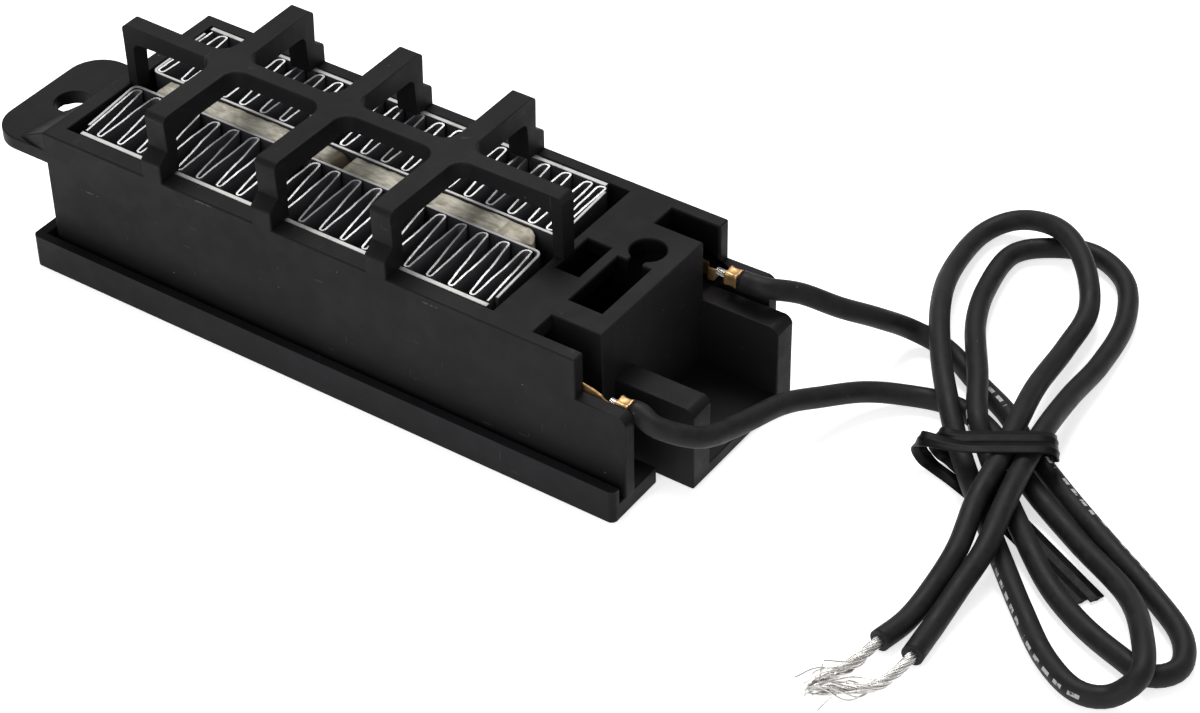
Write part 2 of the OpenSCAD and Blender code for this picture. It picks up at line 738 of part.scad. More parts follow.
// Two turns of flat tie round the leads, and two tails side by side on the floor under them
module twist_tie()
    color(plastic) {
        translate([tie_at[0], tie_at[1], 0])
            rotate([0, 0, tie_turn]) {
                span(tie_reach, [-tie_w / 2, tie_w / 2], [tie_floor, tie_floor + tie_t]);
                span(tie_reach, [-tie_w / 2 - tie_lean, tie_w / 2 - tie_lean], [tie_top - tie_t, tie_top]);
                tie_side([tie_reach[0], tie_reach[0] + tie_t]);
                tie_side([tie_reach[1] - tie_t, tie_reach[1]]);
            }
        translate([0, 0, tie_floor])
            linear_extrude(tie_t)
                polygon(tie_tails);
    }

// A side of the turns, from the floor up to their top
module tie_side(x)
    across(x)
        polygon([[0, tie_floor], [tie_w / 2, tie_floor], [tie_w / 2 - tie_lean, tie_top],
            [-tie_w / 2 - tie_lean, tie_top]]);

housing();
base_tray();
fins_front();
fins_back();
inner_channel_front();
inner_channel_back();
side_strip_front();
side_strip_back();
ptc_plate_1();
ptc_plate_2();
adhesive_bead();
terminal_front();
terminal_back();
conductor_front();
conductor_back();
lead_front();
lead_back();
wire_end_front();
wire_end_back();
twist_tie();
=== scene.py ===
import math

import bmesh
import bpy
from mathutils import Matrix, Vector, noise


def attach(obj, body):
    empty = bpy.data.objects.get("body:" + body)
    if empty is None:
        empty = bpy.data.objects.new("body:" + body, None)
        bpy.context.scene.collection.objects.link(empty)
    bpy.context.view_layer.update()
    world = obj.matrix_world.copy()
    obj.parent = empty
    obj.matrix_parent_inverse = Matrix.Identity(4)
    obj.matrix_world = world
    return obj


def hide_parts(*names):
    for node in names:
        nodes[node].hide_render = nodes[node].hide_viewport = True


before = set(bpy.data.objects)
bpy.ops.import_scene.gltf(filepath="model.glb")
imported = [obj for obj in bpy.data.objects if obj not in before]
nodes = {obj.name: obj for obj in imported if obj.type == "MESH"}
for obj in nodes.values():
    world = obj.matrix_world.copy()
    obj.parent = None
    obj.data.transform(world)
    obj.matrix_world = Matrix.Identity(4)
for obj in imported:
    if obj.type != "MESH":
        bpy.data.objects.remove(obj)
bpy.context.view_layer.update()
scene = bpy.context.scene
mm = 0.001

# Where the housing's left front bottom corner lies, in millimetres of the part's frame
origin = Vector((-39.025, -15.25, 0))


def shown(name, data):
    # an object in the scene that has this data
    item = bpy.data.objects.new(name, data)
    scene.collection.objects.link(item)
    return item


print("camera")
cameraPlace = {
    "eye": (196.94, -232.32, 238.23),  # mm
    "right": (0.82078137, 0.57098799, -0.01704876),
    "up": (-0.34945338, 0.52549243, 0.77571905),
    "lens": 96.9,
    "sensor": 36,
    "clipStart": 0.01,  # m
}
cameraData = bpy.data.cameras.new("camera")
cameraData.lens = cameraPlace["lens"]
cameraData.sensor_width = cameraPlace["sensor"]
cameraData.clip_start = cameraPlace["clipStart"]
camera = shown("camera", cameraData)
right, up = Vector(cameraPlace["right"]).normalized(), Vector(cameraPlace["up"]).normalized()
turned = Matrix((right, up, right.cross(up))).transposed().to_4x4()
camera.matrix_world = Matrix.Translation(Vector(cameraPlace["eye"]) * mm) @ turned
scene.camera = camera


# Mesh makers

def newPiece(name, verts, faces, smooth=True):
    data = bpy.data.meshes.new(name)
    data.from_pydata([tuple(v) for v in verts], [], faces)
    data.update()
    if smooth:
        data.shade_smooth()
    return shown(name, data)


def between(points, i, t):
    # a place on the smooth line from point i to the next one
    a = points[i - 1] if i else 2 * points[0] - points[1]
    b, c = points[i], points[i + 1]
    d = points[i + 2] if i + 2 < len(points) else 2 * c - b
    return 0.5 * (2 * b + (c - a) * t + (2 * a - 5 * b + 4 * c - d) * t * t + (3 * b - a - 3 * c + d) * t ** 3)


def smoothRoute(points, step):
    # a smooth line through the points, with its own points about a step apart
    line = []
    for i in range(len(points) - 1):
        n = max(2, round((points[i + 1] - points[i]).length / step))
        line += [between(points, i, k / n) for k in range(n)]
    return line + [points[-1]]


def framesAlong(line):
    # a tangent and two normals at each point, turned as little as possible
    found = []
    normal = None
    for i, p in enumerate(line):
        tangent = tangentAt(line, i)
        if normal is None:
            normal = tangent.cross(Vector((0, 0, 1))).normalized()
        normal = (normal - normal.dot(tangent) * tangent).normalized()
        found.append((p, tangent, normal, tangent.cross(normal)))
    return found


def tube(name, line, radius, sides):
    # a closed round tube, with a UV map: metres along, share of a turn around
    turns = [2 * math.pi * k / sides for k in range(sides)]
    verts, along, reach = [], [], 0
    for i, (p, t, n, b) in enumerate(framesAlong(line)):
        reach += (line[i] - line[i - 1]).length if i else 0
        along.append(reach)
        verts += [p + radius * (math.cos(a) * n + math.sin(a) * b) for a in turns]
    faces, uvs = [], []
    for i in range(len(line) - 1):
        low, high = i * sides, (i + 1) * sides
        for k in range(sides):
            j = (k + 1) % sides
            faces.append((low + k, low + j, high + j, high + k))
            uvs.append([(along[i + a], (k + b) / sides) for a, b in ((0, 0), (0, 1), (1, 1), (1, 0))])
    for ring, order in ((0, -1), (len(line) - 1, 1)):
        faces.append(tuple(ring * sides + k for k in range(sides))[::order])
        uvs.append([(along[ring], 0)] * sides)
    piece = newPiece(name, verts, faces)
    layer = piece.data.uv_layers.new(name="alongLead")
    for polygon, corners in zip(piece.data.polygons, uvs):
        for loop, uv in zip(polygon.loop_indices, corners):
            layer.data[loop].uv = uv
        if polygon.loop_total > 4:
            polygon.use_smooth = False
    return piece


def loft(name, rings, closed=False, sharp=40):
    # a skin through rings of points in millimetres, capped at its ends or closed on itself
    count = len(rings[0])
    faces = []
    for i in range(len(rings) - (0 if closed else 1)):
        a, b = i * count, (i + 1) % len(rings) * count
        faces += [(a + k, a + (k + 1) % count, b + (k + 1) % count, b + k) for k in range(count)]
    if not closed:
        last = (len(rings) - 1) * count
        faces += [tuple(range(count))[::-1], tuple(range(last, last + count))]
    piece = newPiece(name, [v * mm for ring in rings for v in ring], faces)
    mesh = bmesh.new()
    mesh.from_mesh(piece.data)
    bmesh.ops.recalc_face_normals(mesh, faces=mesh.faces)
    mesh.to_mesh(piece.data)
    mesh.free()
    piece.data.set_sharp_from_angle(angle=math.radians(sharp))
    return piece


def tangentAt(line, i):
    return (line[min(i + 1, len(line) - 1)] - line[max(i - 1, 0)]).normalized()


def merged(name, pieces):
    # several pieces as one
    mesh = bmesh.new()
    for piece in pieces:
        mesh.from_mesh(piece.data)
        bpy.data.objects.remove(piece)
    whole = newPiece(name, [], [], False)
    mesh.to_mesh(whole.data)
    mesh.free()
    return whole


print("leads")
leadSizes = {
    "diameter": 2.5,
    "sides": 24,
    "step": 0.7,
    "frontStart": (43.625, -12.3, 12.5),
    "backStart": (41.825, 12.2, 13.8),
}
frontRoute = [
    (47, -12.5, 11.8), (50.5, -9.5, 10), (51.5, -3.5, 8), (52.5, 4, 6.2), (54.5, 9.5, 4.4), (57, 14.5, 2.8),
    (60.5, 18, 1.5), (65, 19.5, 1.3), (69.8, 18.4, 1.7), (74.6, 15.6, 1.8), (81.1, 11.1, 1.7), (88.6, 7, 1.3),
    (97.2, 1.7, 2.2), (102.3, -5, 3.9), (104.5, -9.8, 3.9), (102.5, -12, 1.6), (99, -13, 1.3), (94, -10.5, 1.3),
    (88.5, -5.5, 1.3), (83, 0, 1.3), (77.8, 5, 1.8), (73.8, 9, 2), (70, 13, 2.6), (66.5, 17, 3.8),
    (62, 23, 4.4), (57, 31.5, 4.1), (53.5, 40.5, 2.2), (52.5, 49.5, 1.4), (55.5, 53.5, 2.3), (61.5, 52.3, 4.1),
    (67, 48, 4.2), (71, 42, 2.8), (72, 34.5, 2.4), (73.2, 25.3, 3.7), (75, 17.5, 4.7), (76.5, 11, 4.9),
    (77.5, 4, 4.4), (79.3, -3.2, 3.6), (79.4, -8.6, 1.9), (79.3, -13.6, 1.3), (78.5, -18, 1.3)]
backRoute = [
    (45, 12.4, 13.9), (47.7, 15.4, 12.4), (51, 18.5, 9.8), (53.5, 23, 6.4), (55.5, 27.6, 2.5), (60, 28, 1.3),
    (66.1, 24.6, 1.3), (71.6, 21.4, 1.7), (76.4, 17.6, 1.8), (83.3, 13.3, 1.4), (90.7, 8.9, 1.3), (98.1, 4.6, 1.3),
    (104.3, 0.3, 1.3), (106.4, -4.1, 1.3), (104.3, -6.9, 1.3), (100, -6, 1.3), (94.5, -3.9, 1.3), (89, -0.6, 1.4),
    (82.9, 4.5, 2.05), (77, 10.1, 2.2), (73.5, 13.5, 2.75), (70.7, 16.1, 4.3), (66.8, 23, 4.3), (61.7, 31.6, 3.2),
    (58.5, 40, 1.8), (57.5, 48, 1.3), (61, 52, 1.3), (66, 53.5, 1.3), (71.5, 50.5, 1.3), (75, 43.5, 1.3),
    (76.3, 35, 1.6), (76.8, 26.7, 2.8), (78, 18.1, 4.4), (79, 12, 4.6), (80.5, 5, 4.8), (81.9, -2, 3.8),
    (81.95, -7.5, 2.4), (82.1, -13, 1.3), (82.5, -18, 1.3)]


def leadLine(start, route):
    first = Vector(start)
    points = [first, first + Vector((1, 0, 0))] + [Vector(p) for p in route]
    line = smoothRoute([p * mm for p in points], leadSizes["step"] * mm)
    for p in line:
        p.z = max(p.z, leadSizes["diameter"] / 2 * mm)
    return line


def lengthOf(line):
    return sum((b - a).length for a, b in zip(line, line[1:]))


leadLines = {"front": leadLine(leadSizes["frontStart"], frontRoute),
             "back": leadLine(leadSizes["backStart"], backRoute)}
leads = {side: tube("lead" + side.capitalize(), line, leadSizes["diameter"] / 2 * mm, leadSizes["sides"])
         for side, line in leadLines.items()}
for side, line in leadLines.items():
    print("  ", side, "lead", round(lengthOf(line), 4), "m")


print("materials")


class Wire:  # one output of a tree's nodes, with Python's operators
    def __init__(self, maker, socket):
        self.maker, self.socket = maker, socket

    def calc(self, operation, *values):
        return self.maker.add("ShaderNodeMath", {"operation": operation}, dict(enumerate(values)))

    def vectors(self, operation, inputs):
        return self.maker.add("ShaderNodeVectorMath", {"operation": operation}, {0: self, **inputs})

    def __add__(self, other): return self.calc("ADD", self, other)
    def __radd__(self, other): return self.calc("ADD", other, self)
    def __sub__(self, other): return self.calc("SUBTRACT", self, other)
    def __rsub__(self, other): return self.calc("SUBTRACT", other, self)
    def __mul__(self, other): return self.calc("MULTIPLY", self, other)
    def __rmul__(self, other): return self.calc("MULTIPLY", other, self)
    def __truediv__(self, other): return self.calc("DIVIDE", self, other)
    def __pow__(self, other): return self.calc("POWER", self, other)
    def __gt__(self, other): return self.calc("GREATER_THAN", self, other)
    def __lt__(self, other): return self.calc("LESS_THAN", self, other)
    def most(self, other): return self.calc("MAXIMUM", self, other)
    def fraction(self): return self.calc("FRACT", self)
    def size(self): return self.calc("ABSOLUTE", self)
    def floor(self): return self.calc("FLOOR", self)
    def sine(self): return self.calc("SINE", self)
    def cosine(self): return self.calc("COSINE", self)
    def scaled(self, size): return self.vectors("SCALE", {"Scale": size})
    def plus(self, other): return self.vectors("ADD", {1: other})
    def minus(self, other): return self.vectors("SUBTRACT", {1: other})
    def cross(self, other): return self.vectors("CROSS_PRODUCT", {1: other})

    def ramp(self, low, high, to=(0.0, 1.0)):
        return self.maker.add("ShaderNodeMapRange", {"interpolation_type": "SMOOTHSTEP"},
                              {0: self, 1: low, 2: high, 3: to[0], 4: to[1]})


class Maker:  # adds nodes to one tree
    def __init__(self, tree):
        self.tree = tree

    def add(self, kind, settings=None, inputs=None, output=0):
        # a node whose inputs are set or wired, giving one output, or the node itself for None
        node = self.tree.nodes.new(kind)
        for key, value in (settings or {}).items():
            setattr(node, key, value)
        for key, value in (inputs or {}).items():
            socket = node.inputs[key]
            if isinstance(value, Wire):
                self.tree.links.new(value.socket, socket)
            else:
                socket.default_value = (*value, 1) if socket.type == "RGBA" else value
        return node if output is None else Wire(self, node.outputs[output])

    def parts(self, vector):
        node = self.add("ShaderNodeSeparateXYZ", None, {0: vector}, None)
        return [Wire(self, socket) for socket in node.outputs]

    def noise(self, at, scale, detail=3.0, rough=0.5, twist=0.0, output=0):
        return self.add("ShaderNodeTexNoise", None, {
            "Vector": at, "Scale": scale, "Detail": detail, "Roughness": rough, "Distortion": twist}, output)


class Bench(Maker):  # builds one material
    def __init__(self, name):
        self.material = bpy.data.materials.new(name)
        self.material.use_nodes = True
        super().__init__(self.material.node_tree)
        self.tree.nodes.clear()

    def place(self, stretch=(1, 1, 1), turn=(0, 0, 0)):
        # object coordinates in millimetres
        coords = self.add("ShaderNodeTexCoord", output="Object")
        return self.add("ShaderNodeMapping", inputs={
            "Vector": coords, "Scale": tuple(s / mm for s in stretch), "Rotation": turn})

    def cells(self, at, scale, output="Distance"):
        return self.add("ShaderNodeTexVoronoi", None, {"Vector": at, "Scale": scale}, output)

    def blend(self, factor, low, high):
        return self.add("ShaderNodeMix", {"data_type": "RGBA"}, {0: factor, 6: low, 7: high}, 2)

    def bump(self, height, depth, strength):
        return self.add("ShaderNodeBump", None, {"Height": height, "Distance": depth * mm, "Strength": strength})

    def finish(self, colour, rough, height, gloss=0.5, metal=0.0):
        # height: the bumps, how deep they are in millimetres, and their strength
        return self.end(self.add("ShaderNodeBsdfPrincipled", None, {
            "Base Color": colour, "Roughness": rough, "Metallic": metal, "Specular IOR Level": gloss,
            "Normal": self.bump(*height)}))

    def end(self, shader):
        self.add("ShaderNodeOutputMaterial", None, {"Surface": shader}, None)
        return self.material


def specks(bench, at, scale, share, size):
    # small round spots in a share of the cells
    near = bench.cells(at, scale).ramp(size, size * 0.5)
    chosen = bench.add("ShaderNodeSeparateColor", None, {0: bench.cells(at, scale, "Color")})
    return near * (chosen > 1 - share)


def scratches(bench, stretch, turn, scale, cut):
    at = bench.place(stretch, turn)
    return bench.noise(at, scale, 1.0).ramp(cut, cut + 0.03) * bench.noise(bench.place(), 0.09, 2).ramp(0.52, 0.66)


def mouldedPlastic(name, look):
    bench = Bench(name)
    at = bench.place()
    broad = bench.noise(at, 0.045, 4)
    cloudy = bench.noise(at, 0.35, 5, 0.6)
    grain = bench.noise(at, 7.0, 3, 0.7)
    colour = bench.blend(broad.ramp(0.35, 0.65), look["dark"], look["pale"])
    colour = bench.blend(cloudy.ramp(0.55, 0.8, (0, 0.35)), colour, look["haze"])
    dust = specks(bench, at, 0.55, 0.10, 0.055).most(specks(bench, at, 1.4, 0.05, 0.07))
    marks = scratches(bench, (1, 1, 6), (0.3, 0.2, 0.4), 0.35, 0.72).most(
        scratches(bench, (7, 0.6, 1), (0.1, 0.9, 0.2), 0.3, 0.73)) * 0.5
    stretch = (0.35, 1, 5)  # a scuff is long and thin
    for spot in look["scuffs"]:
        middle = tuple(a * b for a, b in zip(spot, stretch))
        off = bench.add("ShaderNodeVectorMath", {"operation": "DISTANCE"}, {0: bench.place(stretch), 1: middle}, 1)
        marks = marks.most((off < 0.5) * bench.noise(at, 2.6, 3).ramp(0.45, 0.55) * 1.6)
    colour = bench.blend(marks * 0.5, colour, look["mark"])
    colour = bench.blend(dust * 0.75, colour, look["dust"])
    # painted shade: the walls of each listed hole are darkened, from just under the rim
    px, py, pz = bench.parts(at)
    for x, y, halfX, halfY, rim in look["openings"]:
        inside = ((px - x).size() < halfX) * ((py - y).size() < halfY) * pz.ramp(rim, rim - 0.5)
        colour = bench.blend(inside * 0.85, colour, look["hollowShade"])
    rough = cloudy.ramp(0.3, 0.7, (look["rough"] - 0.06, look["rough"] + 0.06)) + dust * 0.2
    height = grain * 0.6 + bench.noise(at, 1.3, 2) * 0.4 - marks * 0.6
    return bench.finish(colour, rough, (height, 0.03, 0.35), look["gloss"])


blackHousing = mouldedPlastic("blackHousing", {
    "dark": (0.0095, 0.0088, 0.0095), "pale": (0.0145, 0.0132, 0.0142), "haze": (0.021, 0.0192, 0.0205),
    "mark": (0.10, 0.095, 0.095), "dust": (0.24, 0.23, 0.22), "rough": 0.54, "gloss": 0.1,
    # painted shade: the near-black colour below is laid on the walls of the holes listed after it
    "hollowShade": (0.0015, 0.0015, 0.0015), "scuffs": [(-32.5, -15.2, 12.8), (-14.2, -15.2, 18.7), (18.5, -15.2, 18.1)],
    "openings": [(31.1, 0.35, 5.2, 7.6, 18.9), (34.4, 11.1, 3.2, 2.5, 18.9)]})  # middle, half sizes, rim, all in mm
blackTray = mouldedPlastic("blackTray", {
    "dark": (0.0095, 0.0088, 0.0097), "pale": (0.0145, 0.0132, 0.0145), "haze": (0.02, 0.0182, 0.02),
    "mark": (0.09, 0.085, 0.085), "dust": (0.22, 0.21, 0.21), "rough": 0.52, "gloss": 0.1,
    "scuffs": [], "openings": []})


# Heights in millimetres: where a cut edge starts and is whole, and where the light fades below it
sheetHeights = {"edgeLow": 18.0, "edgeHigh": 18.3, "deep": 9.0, "lit": 18.7}


def rolledAluminium(name, look):
    # the up-facing cut edges are pale metal; the faces get a dark colour, painted shade and painted dark reflection,
    # and more painted shade further down between them
    bench = Bench(name)
    at = bench.place()
    rolled = bench.noise(bench.place((0.6, 0.6, 9)), 0.8, 3)
    stain = bench.noise(at, 0.22, 4, 0.6)
    fine = bench.noise(at, 3.0, 2)
    height = bench.parts(at)[2]
    upward = bench.parts(bench.add("ShaderNodeNewGeometry", output="Normal"))[2]
    # the up-facing top edges keep the pale metal; every other face gets the dark face colour, painted shade and painted
    # dark reflection
    edge = upward.ramp(0.35, 0.7) * height.ramp(sheetHeights["edgeLow"], sheetHeights["edgeHigh"])
    # painted shade: the faces darken from the top down to the given depth
    depth = height.ramp(sheetHeights["deep"], sheetHeights["lit"])
    face = bench.blend(depth, look["deepShadeColour"], look["face"])
    face = bench.blend(rolled.ramp(0.3, 0.7, (0, 0.35)), face, look["dark"])
    cutEdge = bench.blend(stain.ramp(0.5, 0.72, (0, look["stained"])), look["pale"], look["stain"])
    cutEdge = bench.blend(specks(bench, at, 1.1, 0.2, 0.12) * 0.5, cutEdge, look["stain"])
    colour = bench.blend(edge, face, cutEdge)
    rough = rolled.ramp(0.2, 0.8, (look["rough"] - 0.07, look["rough"] + 0.07)) + stain.ramp(0.55, 0.8, (0, 0.15))
    return bench.finish(colour, rough, (rolled * 0.6 + fine * 0.4, 0.02, 0.5), 0.0, edge * look["metal"])


# in each of these finishes the first two colours are painted shade and painted dark reflection on the faces, the second
# deep down
finAluminium = rolledAluminium("finAluminium", {
    "face": (0.12, 0.12, 0.127), "deepShadeColour": (0.03, 0.03, 0.033), "dark": (0.045, 0.045, 0.048),
    "pale": (0.67, 0.67, 0.68), "stain": (0.36, 0.345, 0.32), "stained": 0.4, "rough": 0.42, "metal": 0.7})
worn = {"stain": (0.24, 0.225, 0.2), "stained": 0.6, "metal": 0.3}
stripAluminium = rolledAluminium("stripAluminium", {
    **worn, "face": (0.06, 0.06, 0.063), "deepShadeColour": (0.01, 0.01, 0.011), "dark": (0.025, 0.025, 0.026),
    "pale": (0.57, 0.56, 0.55), "rough": 0.46})
channelAluminium = rolledAluminium("channelAluminium", {
    **worn, "face": (0.05, 0.05, 0.053), "deepShadeColour": (0.008, 0.008, 0.009), "dark": (0.02, 0.02, 0.021),
    "pale": (0.56, 0.55, 0.54), "rough": 0.48})


def plateFilm(name, look):
    # a metal film over the ceramic, smeared with adhesive
    bench = Bench(name)
    at = bench.place()
    smear = bench.noise(bench.place((0.35, 1.6, 1)), 1.1, 5, 0.65, 0.4)
    blot = bench.noise(at, 0.33, 4, 0.6, 0.6)
    colour = bench.blend(smear.ramp(0.3, 0.7), look["dark"], look["pale"])
    colour = bench.blend(blot.ramp(0.48, 0.66, (0, 0.5)), colour, look["blot"])
    colour = bench.blend(specks(bench, at, 1.5, 0.25, 0.1) * 0.6, colour, look["dust"])
    # darker brown round the gap between the plates
    gap = (bench.parts(at)[0] - look["gapAt"] + blot * 1.6).size()
    colour = bench.blend(gap.ramp(2.4, 0.9), colour, look["gapBrown"])
    return bench.finish(colour, smear.ramp(0.2, 0.8, look["rough"]),
                        (smear * 0.7 + bench.noise(at, 4, 2) * 0.3, 0.05, 0.6),
                        look["gloss"], blot.ramp(0.45, 0.7, look["metal"]))


def cloudyCoat(name, look):
    # for the adhesive and the tie: two tones in clouds, dust on them, and lumps of two sizes
    bench = Bench(name)
    at = bench.place()
    cloud = bench.noise(at, look["clouds"], 4, 0.6)
    colour = bench.blend(cloud.ramp(0.35, 0.7), look["dark"], look["pale"])
    colour = bench.blend(specks(bench, at, *look["specks"]) * 0.5, colour, look["dust"])
    lumps = cloud * (1 - look["grain"]) + bench.noise(at, 4, 2) * look["grain"]
    return bench.finish(colour, cloud.ramp(0.3, 0.7, look["rough"]), (lumps, *look["bumps"]), look["gloss"])


def stampedBrass(name, look):
    bench = Bench(name)
    at = bench.place()
    tarnish = bench.noise(at, 1.1, 5, 0.6, 0.4)
    fine = bench.noise(bench.place((1, 5, 5)), 2.2, 2)
    colour = bench.blend(tarnish.ramp(0.35, 0.7), look["bright"], look["dull"])
    colour = bench.blend(tarnish.ramp(0.6, 0.75, (0, 0.6)), colour, look["brown"])
    return bench.finish(colour, tarnish.ramp(0.3, 0.75, look["rough"]),
                        (fine * 0.6 + tarnish * 0.4, 0.02, 0.5), metal=look["metal"])


def tinnedStrand(name, look):
    bench = Bench(name)
    at = bench.place()
    dull = bench.noise(at, 1.4, 4, 0.6)
    colour = bench.blend(dull.ramp(0.3, 0.7), look["bright"], look["dull"])
    colour = bench.blend(bench.noise(at, 0.6, 3).ramp(0.6, 0.75, (0, 0.5)), colour, look["brown"])
    return bench.finish(colour, dull.ramp(0.3, 0.7, look["rough"]),
                        (bench.noise(at, 6, 2), 0.01, 0.4), metal=look["metal"])


def siliconeJacket(name, look, marks):
    # silicone with plain pale dashes along the lead
    bench = Bench(name)
    at = bench.place()
    along, around = bench.parts(bench.add("ShaderNodeUVMap", {"uv_map": "alongLead"}))[:2]
    cloud = bench.noise(at, 0.5, 4, 0.6)
    colour = bench.blend(cloud.ramp(0.35, 0.7), look["dark"], look["pale"])
    scuff = bench.noise(at, 1.6, 4, 0.7).ramp(0.6, 0.74)
    colour = bench.blend(scuff * 0.25, colour, look["scuff"])
    run = 0
    for start, end, turn in marks:
        run = ((along > start * mm) * (along < end * mm) * ((around - turn).size() < dashSizes["width"])).most(run)
    dash = run * ((along * (1 / dashSizes["pitch"] / mm)).fraction() < dashSizes["share"])
    dash = dash * ((along * (1 / dashSizes["group"] / mm)).fraction() < dashSizes["groupShare"])
    broken = bench.noise(at, 2.4, 2).ramp(0.3, 0.5)
    colour = bench.blend(dash * broken * dashSizes["strength"], colour, look["dash"])
    colour = bench.blend(specks(bench, at, 0.9, 0.12, 0.07) * 0.6, colour, look["dust"])
    return bench.finish(colour, cloud.ramp(0.3, 0.7, look["rough"]) + scuff * 0.1,
                        (cloud * 0.5 + bench.noise(at, 5, 2) * 0.5, 0.03, 0.4), look["gloss"])


plateFinish = plateFilm("plateFilm", {
    "dark": (0.25, 0.232, 0.182), "pale": (0.53, 0.505, 0.43), "blot": (0.15, 0.13, 0.085),
    "dust": (0.55, 0.54, 0.49), "gapBrown": (0.045, 0.034, 0.022), "gapAt": -6.0,
    "rough": (0.34, 0.58), "metal": (0.2, 0.05), "gloss": 0.2})
adhesiveFinish = cloudyCoat("curedAdhesive", {
    "dark": (0.3, 0.272, 0.2), "pale": (0.56, 0.525, 0.425), "dust": (0.22, 0.2, 0.16), "clouds": 0.9,
    "specks": (1.6, 0.2, 0.12), "grain": 0, "bumps": (0.08, 0.7), "rough": (0.28, 0.5), "gloss": 0.4})
brassFinish = stampedBrass("stampedBrass", {
    "bright": (0.56, 0.35, 0.155), "dull": (0.34, 0.19, 0.075), "brown": (0.16, 0.09, 0.04),
    "rough": (0.3, 0.52), "metal": 0.65})
strandFinish = tinnedStrand("tinnedStrand", {
    "bright": (0.86, 0.85, 0.83), "dull": (0.62, 0.60, 0.56), "brown": (0.42, 0.37, 0.31),
    "rough": (0.22, 0.42), "metal": 1.0})
tieFinish = cloudyCoat("tieCoating", {
    "dark": (0.0036, 0.0034, 0.0038), "pale": (0.007, 0.0067, 0.0074), "dust": (0.16, 0.16, 0.16),
    "clouds": 0.8, "specks": (1.2, 0.12, 0.08), "grain": 0.5, "bumps": (0.03, 0.5), "rough": (0.4, 0.52),
    "gloss": 0.1})
dashSizes = {"pitch": 1.9, "share": 0.6, "group": 11.4, "groupShare": 0.84, "width": 0.03, "strength": 0.8}
leadMarks = {
    # from and to in millimetres along the lead, and the share of a turn around it
    "front": [(102.5, 124.5, 0.6)],
    "back": [(39.5, 46, 0.81), (52, 63.5, 0.72), (64.5, 75, 0.66), (129.5, 138.5, 0.55)],
}
jacketFinishes = {side: siliconeJacket("siliconeJacket" + side.capitalize(), {
    "dark": (0.0105, 0.0098, 0.0106), "pale": (0.0175, 0.0163, 0.0175), "scuff": (0.05, 0.048, 0.05),
    "dash": (0.62, 0.62, 0.61), "dust": (0.28, 0.27, 0.26), "rough": (0.5, 0.64), "gloss": 0.2}, marks)
    for side, marks in leadMarks.items()}


def paint(piece, material):
    piece.data.materials.clear()
    piece.data.materials.append(material)


def dress(piece, node, material):
    # paints a piece that stands for a node of the part
    paint(piece, material)
    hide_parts(node)
    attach(piece, "root")


# Geometry nodes

class Recipe(Maker):  # builds one tree of geometry nodes
    def __init__(self, name, sizes):
        super().__init__(bpy.data.node_groups.new(name, "GeometryNodeTree"))
        kinds = {int: "NodeSocketInt", float: "NodeSocketFloat", bpy.types.Material: "NodeSocketMaterial"}
        self.tree.interface.new_socket("Geometry", in_out="INPUT", socket_type="NodeSocketGeometry")
        self.sockets = {}
        for label, value in sizes.items():
            kind = next(k for t, k in kinds.items() if isinstance(value, t))
            item = self.tree.interface.new_socket(label, in_out="INPUT", socket_type=kind)
            self.sockets[label] = item.identifier
        self.tree.interface.new_socket("Geometry", in_out="OUTPUT", socket_type="NodeSocketGeometry")
        self.start = self.tree.nodes.new("NodeGroupInput")
        self.sizes = sizes

    def given(self, label):
        return Wire(self, self.start.outputs[label])

    def chance(self, low, high, index, seed):
        return self.add("FunctionNodeRandomValue", {"data_type": "FLOAT"},
                        {2: low, 3: high, "ID": index, "Seed": seed}, 1)

    def vector(self, x, y, z):
        return self.add("ShaderNodeCombineXYZ", None, {0: x, 1: y, 2: z})

    def pick(self, test, no, yes):
        return self.add("GeometryNodeSwitch", {"input_type": "FLOAT"}, {0: test, 1: no, 2: yes})

    def make(self, name, geometry, carrier=None):
        # evaluates the tree on a carrier mesh and keeps the result as a plain mesh
        real = self.add("GeometryNodeRealizeInstances", None, {0: geometry})
        painted = self.add("GeometryNodeSetMaterial", None, {0: real, "Material": self.given("Finish")})
        self.add("NodeGroupOutput", None, {0: painted}, None)
        host = carrier or newPiece(name + "Host", [(0, 0, 0)], [], False)
        modifier = host.modifiers.new(name, "NODES")
        modifier.node_group = self.tree
        for label, value in self.sizes.items():
            modifier[self.sockets[label]] = value
        data = meshed(host, name)
        bpy.data.objects.remove(host)
        return shown(name, data)


def meshed(piece, name):
    # the mesh that a piece's modifiers make; the piece loses them
    data = bpy.data.meshes.new_from_object(piece.evaluated_get(bpy.context.evaluated_depsgraph_get()))
    piece.modifiers.clear()
    data.name = name
    return data


print("fins")
rowSizes = {
    "front": {
        "Near Line": 3.3, "Far Line": 13.65, "Near Radius": 0.3, "First Fold": 3.55, "Lean": 2.4,
        "Left End": 3.65, "Right End": 63.1, "First Shift": 0.0, "Last Shift": 0.0,
        "Far Folds": 20, "Near Folds": 19, "Early Folds": 0, "Seed": 4},
    "back": {
        "Near Line": 17.7, "Far Line": 28.2, "Near Radius": 0.42, "First Fold": 4.72, "Lean": 1.95,
        "Left End": 2.46, "Right End": 62.15, "First Shift": -0.6, "Last Shift": -0.55,
        "Far Folds": 20, "Near Folds": 20, "Early Folds": 1, "Seed": 11},
}
finSizes = {
    "Pitch": 3.045, "Far Radius": 0.36, "Shoulder": 0.3, "Sheet": 0.24, "Bottom": 3.8, "Height": 15.0,
    "Fold Drift": 0.1, "Fold Depth": 0.2, "Edge Wave": 0.1, "Limb Bow": 0.14, "Spacing": 0.28, "Stiff End": 0.6,
}
# what isn't a length: shares of the radii that are rounded, steps in a fold, noise scales, an angle
finShape = {"fold": 0.9, "shoulder": 1.2, "steps": 7, "waves": 900.0, "bows": 260.0, "sharp": 40}


